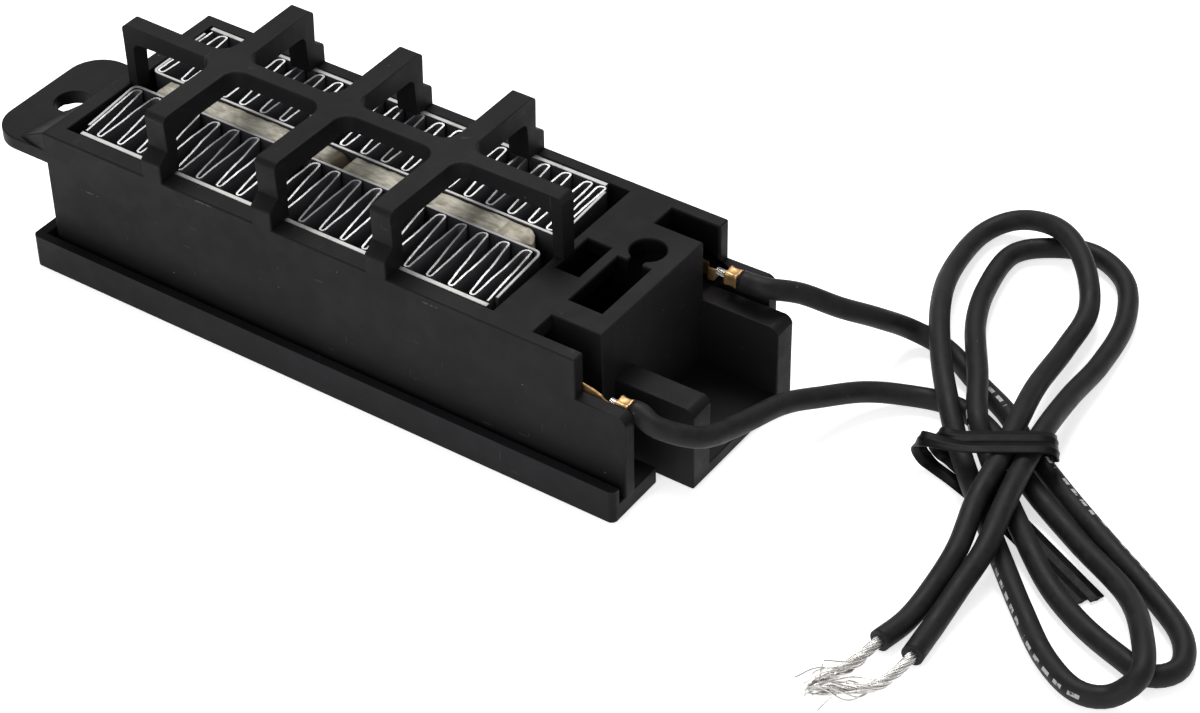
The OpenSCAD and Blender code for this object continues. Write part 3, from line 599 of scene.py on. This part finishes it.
def finRow(side):
    # one sheet folded to and fro: two points for each fold, and one at each end
    sizes = {label: value * mm if isinstance(value, float) else value
             for label, value in {**finSizes, **rowSizes[side]}.items()}
    r = Recipe("foldedFins" + side.capitalize(), {**sizes, "Finish": finAluminium})
    g = r.given
    half = g("Sheet") * 0.5
    folds = g("Far Folds") + g("Near Folds")
    count = folds * 2 + 2
    line = r.add("GeometryNodeMeshLine", {"mode": "OFFSET"}, {"Count": count})
    curve = r.add("GeometryNodeMeshToCurve", None, {0: line})
    index = r.add("GeometryNodeInputIndex")
    turn = ((index - 1) * 0.5).floor()
    leaves = index - 1 - turn * 2  # 0 where the sheet enters a fold, 1 where it leaves
    fold = turn - g("Early Folds")
    pair = (fold * 0.5).floor()
    isNear = fold - pair * 2
    radius = g("Far Radius") + (g("Near Radius") - g("Far Radius")) * isNear
    drift = r.chance(-1.0, 1.0, fold, g("Seed")) * g("Fold Drift")
    shoulder = g("Shoulder") * (1 - isNear) * (1 - leaves)
    crowded = turn - folds + 3
    pushed = (fold < 0.0) * g("First Shift") + (crowded > 0.5) * crowded * g("Last Shift")
    x = (g("First Fold") + pair * g("Pitch") + isNear * g("Lean") + drift + pushed
         + (leaves * 2 - 1) * radius - shoulder)
    short = r.chance(0.0, 1.0, fold, g("Seed") + 7) * g("Fold Depth")
    near = g("Near Line") + half
    far = g("Far Line") - half
    y = far + (near - far) * isNear + short * (isNear * 2 - 1)
    isFirst, isLast = index < 0.5, index > count - 1.5
    x = r.pick(isFirst, x, g("Left End") + g("Sheet"))
    y = r.pick(isFirst, y, near + half + (far - near - half * 2) * g("Early Folds"))
    x = r.pick(isLast, x, g("Right End") - g("Sheet"))
    y = r.pick(isLast, y, near + half)
    middle = g("Bottom") + g("Height") * 0.5
    placed = r.add("GeometryNodeSetPosition", None, {0: curve, "Position": r.vector(x, y, middle)})
    rounded = r.add("GeometryNodeFilletCurve", {"mode": "POLY"}, {
        0: placed, "Count": finShape["steps"], "Limit Radius": True,
        "Radius": radius * finShape["fold"] + shoulder * finShape["shoulder"]})
    spread = r.add("GeometryNodeResampleCurve", {"mode": "LENGTH"}, {0: rounded, "Length": g("Spacing")})
    upright = r.add("GeometryNodeSetCurveNormal", {"mode": "Z_UP"}, {0: spread})
    rail = r.add("GeometryNodeCurvePrimitiveQuadrilateral", {"mode": "RECTANGLE"}, {
        0: g("Sheet"), 1: g("Height")})
    sheet = r.add("GeometryNodeCurveToMesh", None, {0: upright, 1: rail, "Fill Caps": True})
    # the sheet's edges wave a little, and its limbs bow
    at = r.add("GeometryNodeInputPosition")
    px, py = r.parts(at)[:2]
    wave = r.noise(at, finShape["waves"], 1.0) - 0.5
    belly = ((py - g("Near Line")) / (g("Far Line") - g("Near Line")) * math.pi).sine()
    bow = (r.noise(at.plus((0.02, 0.0, 0.0)), finShape["bows"], 0.0) - 0.5) * belly * g("Limb Bow") * 2
    inside = (px > g("Left End") + g("Stiff End")) * (px < g("Right End") - g("Stiff End"))
    waved = r.add("GeometryNodeSetPosition", None, {
        0: sheet, "Offset": r.vector(bow * inside, 0.0, wave * g("Edge Wave") - g("Edge Wave") * 0.5)})
    piece = r.make("finRow" + side.capitalize(), waved)
    piece.data.shade_smooth()
    piece.data.set_sharp_from_angle(angle=math.radians(finShape["sharp"]))
    piece.data.transform(Matrix.Translation(origin * mm))
    return piece


for side in rowSizes:
    row = finRow(side)
    dress(row, "fins_" + side, finAluminium)
    print("  ", side, len(row.data.polygons), "faces")


print("channels and side strips")
channelSizes = {
    "sheet": 0.36, "bottom": 3.8, "top": 18.8, "bend": 0.9, "edge": 0.05,
    "front": [(3.38, 4.5), (2.42, 13.9), (62.7, 13.9), (63.4, 4.5)],
    "back": [(2.15, 27.2), (2.22, 17.47), (62.65, 17.47), (62.1, 27.3)],
}
stripSizes = {
    "sheet": 0.62, "bottom": 3.8, "top": 18.8, "bend": 0, "edge": 0.05,
    "front": [(3.7, 2.88), (63.35, 2.88)],
    "back": [(2.2, 28.55), (61.5, 28.55)],
}


def rounded(corners, radius):
    # the corners in the middle turned into arcs
    line = [corners[0]]
    for a, b, c in zip(corners, corners[1:], corners[2:]):
        start, end = b + (a - b).normalized() * radius, b + (c - b).normalized() * radius
        line += [start * (1 - t) ** 2 + b * 2 * t * (1 - t) + end * t * t for t in (0, 0.2, 0.4, 0.6, 0.8, 1)]
    return line + [corners[-1]]


def bentSheet(name, corners, look):
    # a sheet standing on edge along a bent line, its edges slightly rounded
    line = rounded([origin + Vector((x, y, 0)) for x, y in corners], look["bend"])
    half, low, high, r = look["sheet"] / 2, look["bottom"], look["top"], look["edge"]
    rings = []
    for i, p in enumerate(line):
        ahead = tangentAt(line, i)
        out = Vector((ahead.y, -ahead.x, 0))
        rings.append([p + out * a + Vector((0, 0, z)) for a, z in (
            (-half, low + r), (r - half, low), (half - r, low), (half, low + r),
            (half, high - r), (half - r, high), (r - half, high), (-half, high - r))])
    return loft(name, rings, False, 30)


for kind, node, look, material in (("channel", "inner_channel_", channelSizes, channelAluminium),
                                   ("strip", "side_strip_", stripSizes, stripAluminium)):
    for side in rowSizes:
        sheet = bentSheet(kind + side.capitalize(), look[side], look)
        dress(sheet, node + side, material)


print("plates")
plateSizes = {
    "near": 14.1, "far": 17.25, "low": 4.0, "top": 18.65, "step": 0.5, "round": 0.3,
    "lump": 0.16, "lumpsAlong": 0.9, "lumpsAcross": 1.3, "lumpSeed": 3.7, "noseEnd": 0.06,
}
plateSpans = {
    # from, to, how far the far end falls and over what length, round nose or not
    "ptc_plate_1": (5.4, 33.2, 1.3, 1.9, False),
    "ptc_plate_2": (33.9, 56.0, 0.0, 1.0, False),
    "adhesive_bead": (56.0, 60.2, 0.7, 1.6, True),
}


def coatedBlock(name, x0, x1, fall, run, nose):
    # a bar with a slightly lumpy top, its far end falling away
    size = plateSizes
    middle, half = (size["near"] + size["far"]) / 2, (size["far"] - size["near"]) / 2
    low, top = size["low"], size["top"]
    steps = round((x1 - x0) / size["step"])
    rings = []
    for i in range(steps + 1):
        x = x0 + (x1 - x0) * i / steps
        left = x1 - x
        wide = half
        if nose and left < half:
            wide *= math.sqrt(max(size["noseEnd"], 1 - (1 - left / half) ** 2))
        drop = fall * max(0, 1 - left / run) ** 2
        r = min(size["round"], wide * 0.5)
        ring = [(-wide, low), (wide, low), (wide, top - r - drop)]
        for y, z in ((wide - 0.3 * r, top - 0.3 * r), (wide - r, top), (wide * 0.5, top), (0, top),
                     (-wide * 0.5, top), (r - wide, top), (0.3 * r - wide, top - 0.3 * r)):
            spot = Vector((x * size["lumpsAlong"], y * size["lumpsAcross"], size["lumpSeed"]))
            ring.append((y, z - drop - max(0, size["lump"] * (0.5 + noise.noise(spot)))))
        ring.append((-wide, top - r - drop))
        rings.append([origin + Vector((x, middle + y, z)) for y, z in ring])
    return loft(name, rings, False, 40)


for node, span in plateSpans.items():
    block = coatedBlock("coated" + node.title().replace("_", ""), *span)
    if node == "adhesive_bead":
        dress(block, node, adhesiveFinish)
    else:
        dress(block, node, plateFinish)


print("wire strands")
looseEnd = {"Strands": 40, "Bundle": 0.68, "Strand": 0.085, "Splay": -0.3, "Fray": 0.9}
crimped = {"Strands": 24, "Bundle": 0.5, "Strand": 0.11, "Splay": 0.0, "Fray": 0.0, "Turns": 0.3}
strandSizes = {
    "frontEnd": {**looseEnd, "Turns": 1.1, "Seed": 3},
    "backEnd": {**looseEnd, "Turns": 1.3, "Seed": 8},
    "frontCrimp": {**crimped, "Seed": 5},
    "backCrimp": {**crimped, "Seed": 6},
}
strandShape = {
    "goldenAngle": 2.39996, "step": 0.35, "ringSides": 6, "floorGap": 0.048, "shortest": 0.25,
    "tangle": 140.0, "apart": (0.37, 0.11), "strayPower": 8, "strayMost": 7, "strayLeast": 0.3, "opening": 1.6,
}
strandRoutes = {
    "frontEnd": [(78.55, -17.6, 1.3), (78.4, -18.6, 1.2), (77.9, -21.3, 0.95), (77.3, -23.4, 0.85), (76.4, -25.9, 0.8),
                 (75.9, -27.7, 0.75), (75.6, -28.6, 0.75)],
    "backEnd": [(82.5, -17.6, 1.3), (82.5, -18.7, 1.2), (82.2, -20.6, 0.95), (81.6, -23.1, 0.85), (80.1, -24.8, 0.8),
                (77.9, -26.3, 0.85), (76.7, -27.6, 0.95), (76.1, -28.7, 0.95)],
    "frontCrimp": [(40.675, -12.3, 12.5), (41.5, -12.3, 12.5), (42.5, -12.3, 12.5), (43.65, -12.3, 12.5)],
    "backCrimp": [(38.475, 12.2, 13.8), (39.2, 12.2, 13.8), (40.5, 12.2, 13.8), (41.85, 12.2, 13.8)],
}


def strandBundle(name):
    shape = strandShape
    sizes = {label: (value * mm if label in ("Bundle", "Strand", "Fray") else value)
             for label, value in strandSizes[name].items()}
    r = Recipe(name + "Strands", {**sizes, "Finish": strandFinish})
    g = r.given
    line = smoothRoute([Vector(p) * mm for p in strandRoutes[name]], shape["step"] * mm)
    carrier = newPiece(name + "Route", [], [], False)
    carrier.data.from_pydata([tuple(p) for p in line], [(i, i + 1) for i in range(len(line) - 1)], [])
    curve = r.add("GeometryNodeMeshToCurve", None, {0: g("Geometry")})
    copies = r.add("GeometryNodeDuplicateElements", {"domain": "SPLINE"},
                   {"Geometry": curve, "Amount": g("Strands")}, None)
    capture = r.add("GeometryNodeCaptureAttribute", None, {0: Wire(r, copies.outputs[0])}, None)
    capture.capture_items.new("INT", "Which")
    r.tree.links.new(copies.outputs["Duplicate Index"], capture.inputs[1])
    number = Wire(r, capture.outputs[1])
    factor = r.add("GeometryNodeSplineParameter")
    tangent = r.add("GeometryNodeInputTangent")
    normal = r.add("GeometryNodeInputNormal")
    # the strands fill the bundle like seeds in a flower head, and wind along it
    spin = number * shape["goldenAngle"] + factor * g("Turns") * (2 * math.pi)
    share = ((number + 0.5) / g("Strands")) ** 0.5
    radius = share * (g("Bundle") - g("Strand")) * (1 + factor ** 2 * g("Splay"))
    shift = r.vector(number * shape["apart"][0], number * shape["apart"][1], 0.0)
    wander = r.noise(r.add("GeometryNodeInputPosition").plus(shift), shape["tangle"], 1.0, output=1)
    # a few strands stray far, most hardly
    stray = (r.chance(0.0, 1.0, number, g("Seed")) ** shape["strayPower"]) * shape["strayMost"] + shape["strayLeast"]
    fray = wander.minus((0.5, 0.5, 0.5)).scaled(factor ** shape["opening"] * g("Fray") * stray * 2)
    offset = normal.scaled(spin.cosine() * radius).plus(
        tangent.cross(normal).scaled(spin.sine() * radius)).plus(fray)
    moved = r.add("GeometryNodeSetPosition", None, {0: Wire(r, capture.outputs[0]), "Offset": offset})
    # strands end at different lengths
    lost = r.chance(0.0, shape["shortest"], number, g("Seed") + 2) * (g("Fray") > 0.01 * mm)
    trimmed = r.add("GeometryNodeTrimCurve", {"mode": "FACTOR"}, {0: moved, 2: 0.0, 3: 1.0 - lost})
    ring = r.add("GeometryNodeCurvePrimitiveCircle", {"mode": "RADIUS"},
                 {"Resolution": shape["ringSides"], "Radius": g("Strand")})
    mesh = r.add("GeometryNodeCurveToMesh", None, {0: trimmed, 1: ring, "Fill Caps": True})
    piece = r.make(name + "Wires", mesh, carrier)
    piece.data.shade_smooth()
    for vertex in piece.data.vertices:
        vertex.co.z = max(vertex.co.z, shape["floorGap"] * mm)
    return piece


wires = {name: strandBundle(name) for name in strandSizes}
for name, node in (("frontEnd", "wire_end_front"), ("backEnd", "wire_end_back"),
                   ("frontCrimp", "conductor_front"), ("backCrimp", "conductor_back")):
    dress(wires[name], node, strandFinish)
    print("  ", name, len(wires[name].data.polygons), "faces")


print("terminals")
terminalSizes = {
    "half": 0.9, "wall": 0.28, "seam": 0.14, "seamWidth": 0.1, "boxiness": 0.36, "sides": 40, "strapEdge": 0.3,
    "stations": [  # along the barrel, and its size there
        (0, 0.98), (0.08, 1.03), (0.28, 1.0), (0.5, 0.94), (1.1, 0.94), (1.32, 1.0), (1.52, 1.03), (1.6, 0.98)],
    "frontBarrel": (41.675, -12.3, 12.5), "backBarrel": (39.875, 12.2, 13.8),
}


def crimpBarrel(name, place):
    # a barrel rolled round the strands: flared at its ends, its two wings meeting in a seam on top
    size = terminalSizes

    def outline(x, share, inset):
        ring = []
        for k in range(size["sides"]):
            a = 2 * math.pi * k / size["sides"]
            y, z = (math.copysign(abs(v) ** size["boxiness"], v) * (size["half"] * share - inset)
                    for v in (math.cos(a), math.sin(a)))
            dip = size["seam"] * math.exp(-(y / size["seamWidth"]) ** 2) if math.sin(a) > 0 else 0
            ring.append(Vector(place) + Vector((x, y, z - dip)))
        return ring

    outer = [outline(x, share, 0) for x, share in size["stations"]]
    inner = [outline(x, share, size["wall"]) for x, share in size["stations"][::-1]]
    return loft(name, outer + inner, True, 50)


def strap(name, stations):
    # a flat strip along the part: x, then its limits across and up
    rings = []
    for x, y0, y1, z0, z1 in stations:
        r = min(y1 - y0, z1 - z0) * terminalSizes["strapEdge"]
        rings.append([Vector((x, y, z)) for y, z in (
            (y0 + r, z0), (y1 - r, z0), (y1, z0 + r), (y1, z1 - r),
            (y1 - r, z1), (y0 + r, z1), (y0, z1 - r), (y0, z0 + r))])
    return loft(name, rings, False, 30)


frontTerminal = merged("frontTerminal", [
    crimpBarrel("frontCrimpBarrel", terminalSizes["frontBarrel"]),
    strap("frontTongue", [
        (18.325, -13.25, -12.8, 12.2, 14.2), (36.8, -13.25, -12.8, 12.2, 14.2),
        (37.4, -13.22, -12.85, 12.2, 14.15), (39.0, -13.25, -12.95, 12.2, 13.95),
        (40.0, -13.3, -13.0, 12.2, 13.7), (40.35, -13.3, -13.02, 12.2, 13.3),
        (40.8, -13.3, -13.0, 12.2, 13.1), (42.2, -13.3, -13.0, 12.2, 13.0)])])
backTerminal = merged("backTerminal", [
    crimpBarrel("backCrimpBarrel", terminalSizes["backBarrel"]),
    strap("backTongue", [
        (18.325, 13.45, 13.9, 11.3, 13.3), (36.2, 13.45, 13.9, 11.3, 13.3),
        (36.5, 13.3, 13.6, 11.4, 13.3), (36.75, 12.75, 13.05, 11.5, 13.35),
        (37.0, 12.55, 12.85, 11.6, 13.4), (37.7, 12.6, 12.9, 11.7, 13.4),
        (38.1, 12.85, 13.15, 12.4, 13.35), (38.7, 12.95, 13.3, 12.75, 13.3),
        (40.4, 12.95, 13.3, 12.75, 13.3)])])
dress(frontTerminal, "terminal_front", brassFinish)
dress(backTerminal, "terminal_back", brassFinish)


print("tie")
tieSizes = {
    "half": 0.92, "edge": 0.11, "rim": 0.08, "step": 0.3,
    "coreHalf": 0.3, "core": 0.26, "coreFoot": 0.12, "coreRise": 0.02, "coreShoulder": (0.7, 0.8),
    "nudge": 0.02,  # the share of a span over which the strip's direction is read
    "at": (73, 16.2), "turn": 33,  # where it crosses the leads
}


def overLeads(stations):
    # places along the tie's top, across it and up, turned to where the tie crosses the leads
    a = math.radians(tieSizes["turn"])
    x, y = tieSizes["at"]
    return [((x + s * math.cos(a) - n * math.sin(a), y + s * math.sin(a) + n * math.cos(a), z), way)
            for (s, n, z), way in stations]


def tieStrip(name, stations):
    # a flat strip with a wire in its middle, swept through places and width directions
    size = tieSizes
    half, edge, coreHalf, core, nudge = (size[k] for k in ("half", "edge", "coreHalf", "core", "nudge"))
    slope = [(half, edge * 0.5), (half - size["rim"], edge), (coreHalf + size["coreFoot"], edge + size["coreRise"]),
             (coreHalf * size["coreShoulder"][0], core * size["coreShoulder"][1])]
    upper = slope + [(0, core)] + [(-a, b) for a, b in slope[::-1]]
    profile = upper + [(a, -b) for a, b in upper[::-1]]
    places = [Vector(place) for place, width in stations]
    widths = [Vector(width).normalized() for place, width in stations]
    rings = []
    for i in range(len(places) - 1):
        n = max(2, round((places[i + 1] - places[i]).length / size["step"]))
        for k in range(n + (1 if i == len(places) - 2 else 0)):
            t = k / n
            here = between(places, i, t)
            ahead = (between(places, i, min(t + nudge, 1)) - between(places, i, max(t - nudge, 0))).normalized()
            wide = between(widths, i, t)
            wide = (wide - wide.dot(ahead) * ahead).normalized()
            out = ahead.cross(wide)
            rings.append([here + a * wide + b * out for a, b in profile])
    return loft(name, rings, False, 35)


# which way the strip's width points
tailWay, overWay, sideWay = (0.43, 0.9, 0), (-0.545, 0.839, 0), (-0.5, 0.75, 0.25)
turnWay, loopWay, riseWay = (0.3, 0.95, 0), (0.75, 0.62, 0.2), (0.2, 0.9, 0.3)
tieNear = [
    ((92.8, 0, 0.3), tailWay), ((85.5, 3.5, 0.3), tailWay), ((78.3, 6.9, 0.3), tailWay), ((72.5, 9.1, 0.3), tailWay),
    ((68.6, 10.2, 0.4), turnWay), ((67.1, 9.9, 1.9), loopWay), ((67.2, 9.1, 4.2), riseWay), ((68.6, 8.0, 5.9), sideWay),
] + overLeads([
    ((-4.2, -6.1, 6.2), overWay), ((0, -6.25, 6.28), overWay), ((5.0, -6.25, 6.2), overWay),
    ((6.3, -5.9, 5.2), sideWay), ((6.4, -3.5, 3), sideWay), ((6.1, -1.2, 0.9), sideWay),
    ((4.5, -0.6, 0.32), overWay), ((0, -0.6, 0.3), overWay)])
tieFar = [
    ((94, 1.3, 0.3), tailWay), ((86.4, 5, 0.3), tailWay), ((79, 8.55, 0.3), tailWay), ((72.95, 10.85, 0.3), tailWay),
    ((69.6, 12.2, 0.4), turnWay), ((68.2, 11.7, 1.9), loopWay), ((68.5, 10.7, 4.2), riseWay),
    ((69.8, 9.8, 5.8), sideWay),
] + overLeads([
    ((-3.9, -4.4, 6.24), overWay), ((0, -4.4, 6.28), overWay), ((5.0, -4.4, 6.2), overWay),
    ((6.3, -4.1, 5.2), sideWay), ((6.4, -2, 3), sideWay), ((6.1, 0.4, 0.9), sideWay),
    ((4.5, 1.2, 0.32), overWay), ((0, 1.2, 0.3), overWay)])
tie = merged("twistTie", [tieStrip("tieNear", tieNear), tieStrip("tieFar", tieFar)])
dress(tie, "twist_tie", tieFinish)


print("housing and tray")
mouldSizes = {
    "housing": 0.22, "base_tray": 0.2,  # the edges' radius
    # widths in millimetres, areas in square millimetres, angles in degrees
    "segments": 3, "weld": 0.002, "sharp": 30, "wideFace": 0.6,
    "flatWidth": 0.16, "arcFace": 3, "arcBends": (1, 12), "towardFlat": 50, "towardRound": 40,
}


def evenShading(data):
    # wide flat faces are shaded flat, and the narrow ones between them turn from one to the next
    low, high = (math.radians(bend) for bend in mouldSizes["arcBends"])
    mesh = bmesh.new()
    mesh.from_mesh(data)
    mesh.normal_update()
    flat = []
    for face in mesh.faces:
        area = face.calc_area()
        width = 2 * area / sum(edge.calc_length() for edge in face.edges)
        bends = [edge.calc_face_angle(0) for edge in face.edges]
        arc = area < mouldSizes["arcFace"] * mm * mm and any(low < bend < high for bend in bends)
        flat.append(width > mouldSizes["flatWidth"] * mm and not arc)
    normals = [cornerNormal(face, vert, flat) for face in mesh.faces for vert in face.verts]
    mesh.free()
    data.shade_smooth()
    data.normals_split_custom_set(normals)


def cornerNormal(face, vert, flat):
    # a narrow face takes a wide neighbour's normal, or else the average of the narrow ones
    if flat[face.index]:
        return face.normal.copy()
    near = [(other.normal.dot(face.normal), other) for other in vert.link_faces]
    limit = math.cos(math.radians(mouldSizes["towardFlat"]))
    wide = [pair for pair in near if flat[pair[1].index] and pair[0] > limit]
    if wide:
        return max(wide, key=lambda pair: pair[0])[1].normal.copy()
    total = Vector((0, 0, 0))
    for cosine, other in near:
        if cosine > math.cos(math.radians(mouldSizes["towardRound"])) and not flat[other.index]:
            total += other.normal * other.calc_area()
    return total.normalized() if total.length > 0 else face.normal.copy()


def roundedCopy(node, name):
    # the solid's own shape, with its outer edges slightly rounded as a mould leaves them
    size = mouldSizes
    data = nodes[node].data.copy()
    piece = shown(name, data)
    mesh = bmesh.new()
    mesh.from_mesh(data)
    bmesh.ops.remove_doubles(mesh, verts=mesh.verts, dist=size["weld"] * mm)
    bmesh.ops.dissolve_limit(mesh, angle_limit=math.radians(1), verts=mesh.verts, edges=mesh.edges)
    weights = mesh.edges.layers.float.new("bevel_weight_edge")
    for edge in mesh.edges:
        crease = len(edge.link_faces) != 2 or edge.calc_face_angle(0) > math.radians(size["sharp"])
        wide = crease and min(face.calc_area() for face in edge.link_faces) > size["wideFace"] * mm * mm
        if wide and edge.is_convex:
            edge[weights] = 1
        edge.smooth = not crease or (wide and edge.is_convex)
    for face in mesh.faces:
        face.smooth = True
    mesh.to_mesh(data)
    mesh.free()
    bevel = piece.modifiers.new("rounding", "BEVEL")
    bevel.width = size[node] * mm
    bevel.segments = size["segments"]
    bevel.limit_method = "WEIGHT"
    bevel.use_clamp_overlap = False
    bevel.miter_outer = "MITER_SHARP"
    piece.data = meshed(piece, name)
    evenShading(piece.data)
    return piece


dress(roundedCopy("housing", "housingShell"), "housing", blackHousing)
dress(roundedCopy("base_tray", "trayPlate"), "base_tray", blackTray)


for side, length, held in (("front", 0.271, [wires["frontEnd"], tie]), ("back", 0.255, [wires["backEnd"]])):
    dress(leads[side], "lead_" + side, jacketFinishes[side])
    tuple(v * mm for v in leadSizes[side + "Start"])


print("floor and light")
studio = {
    "reach": 2, "level": -0.0001,  # metres
    "floorColour": (0.55, 0.55, 0.56), "floorSeen": (0.95, 0.95, 0.955), "floorGlow": 0.65,
    "skyColour": (0.95, 0.96, 1.0), "skyStrength": 0.3, "white": (1, 1, 1),
}
reach, level = studio["reach"], studio["level"]
floor = newPiece("floor", [(x * reach, y * reach, level) for x, y in ((-1, -1), (1, -1), (1, 1), (-1, 1))],
                 [(0, 1, 2, 3)], False)


def floorFinish():
    # white where it is looked at, also in a reflection or through something, and plain where it gives light
    bench = Bench("paleFloor")
    straight, mirrored, through = (bench.add("ShaderNodeLightPath", output=ray) for ray in (
        "Is Camera Ray", "Is Glossy Ray", "Is Transmission Ray"))
    plain = bench.add("ShaderNodeBsdfDiffuse", None, {"Color": studio["floorColour"]})
    white = bench.add("ShaderNodeBsdfDiffuse", None, {"Color": studio["floorSeen"]})
    glow = bench.add("ShaderNodeEmission", None, {"Color": studio["white"], "Strength": studio["floorGlow"]})
    lit = bench.add("ShaderNodeAddShader", None, {0: white, 1: glow})
    return bench.end(bench.add("ShaderNodeMixShader", None, {
        0: straight.most(mirrored).most(through), 1: plain, 2: lit}))


paint(floor, floorFinish())

world = bpy.data.worlds.new("studioWorld")
scene.world = world
world.use_nodes = True
sky = Maker(world.node_tree)
sky.tree.nodes.clear()
dim = sky.add("ShaderNodeBackground", None, {"Color": studio["skyColour"], "Strength": studio["skyStrength"]})
bright = sky.add("ShaderNodeBackground", None, {"Color": studio["white"], "Strength": 1.0})
seen = sky.add("ShaderNodeLightPath", output="Is Camera Ray")
mixed = sky.add("ShaderNodeMixShader", None, {0: seen, 1: dim, 2: bright})
sky.add("ShaderNodeOutputWorld", None, {"Surface": mixed}, None)

lampSettings = [
    # name, place and aim in metres, size, watts, colour
    ("keyLamp", (-0.25, 0.34, 0.84), (0, 0, 0.01), 0.5, 7.0, (1, 0.99, 0.97)),
    ("fillLamp", (0.08, -0.8, 0.35), (0.02, 0, 0.01), 0.7, 3.6, (0.97, 0.98, 1)),
    ("sideLamp", (0.8, -0.05, 0.35), (0.03, 0, 0.01), 0.5, 0.4, (1, 1, 1)),
]
for name, place, aim, size, watts, colour in lampSettings:
    lampData = bpy.data.lights.new(name, "AREA")
    lampData.shape = "SQUARE"
    lampData.size = size
    lampData.energy = watts
    lampData.color = colour
    lamp = shown(name, lampData)
    lamp.location = place
    lamp.rotation_euler = (Vector(aim) - Vector(place)).to_track_quat("-Z", "Y").to_euler()

scene.view_settings.view_transform = "Standard"

bpy.context.view_layer.update()
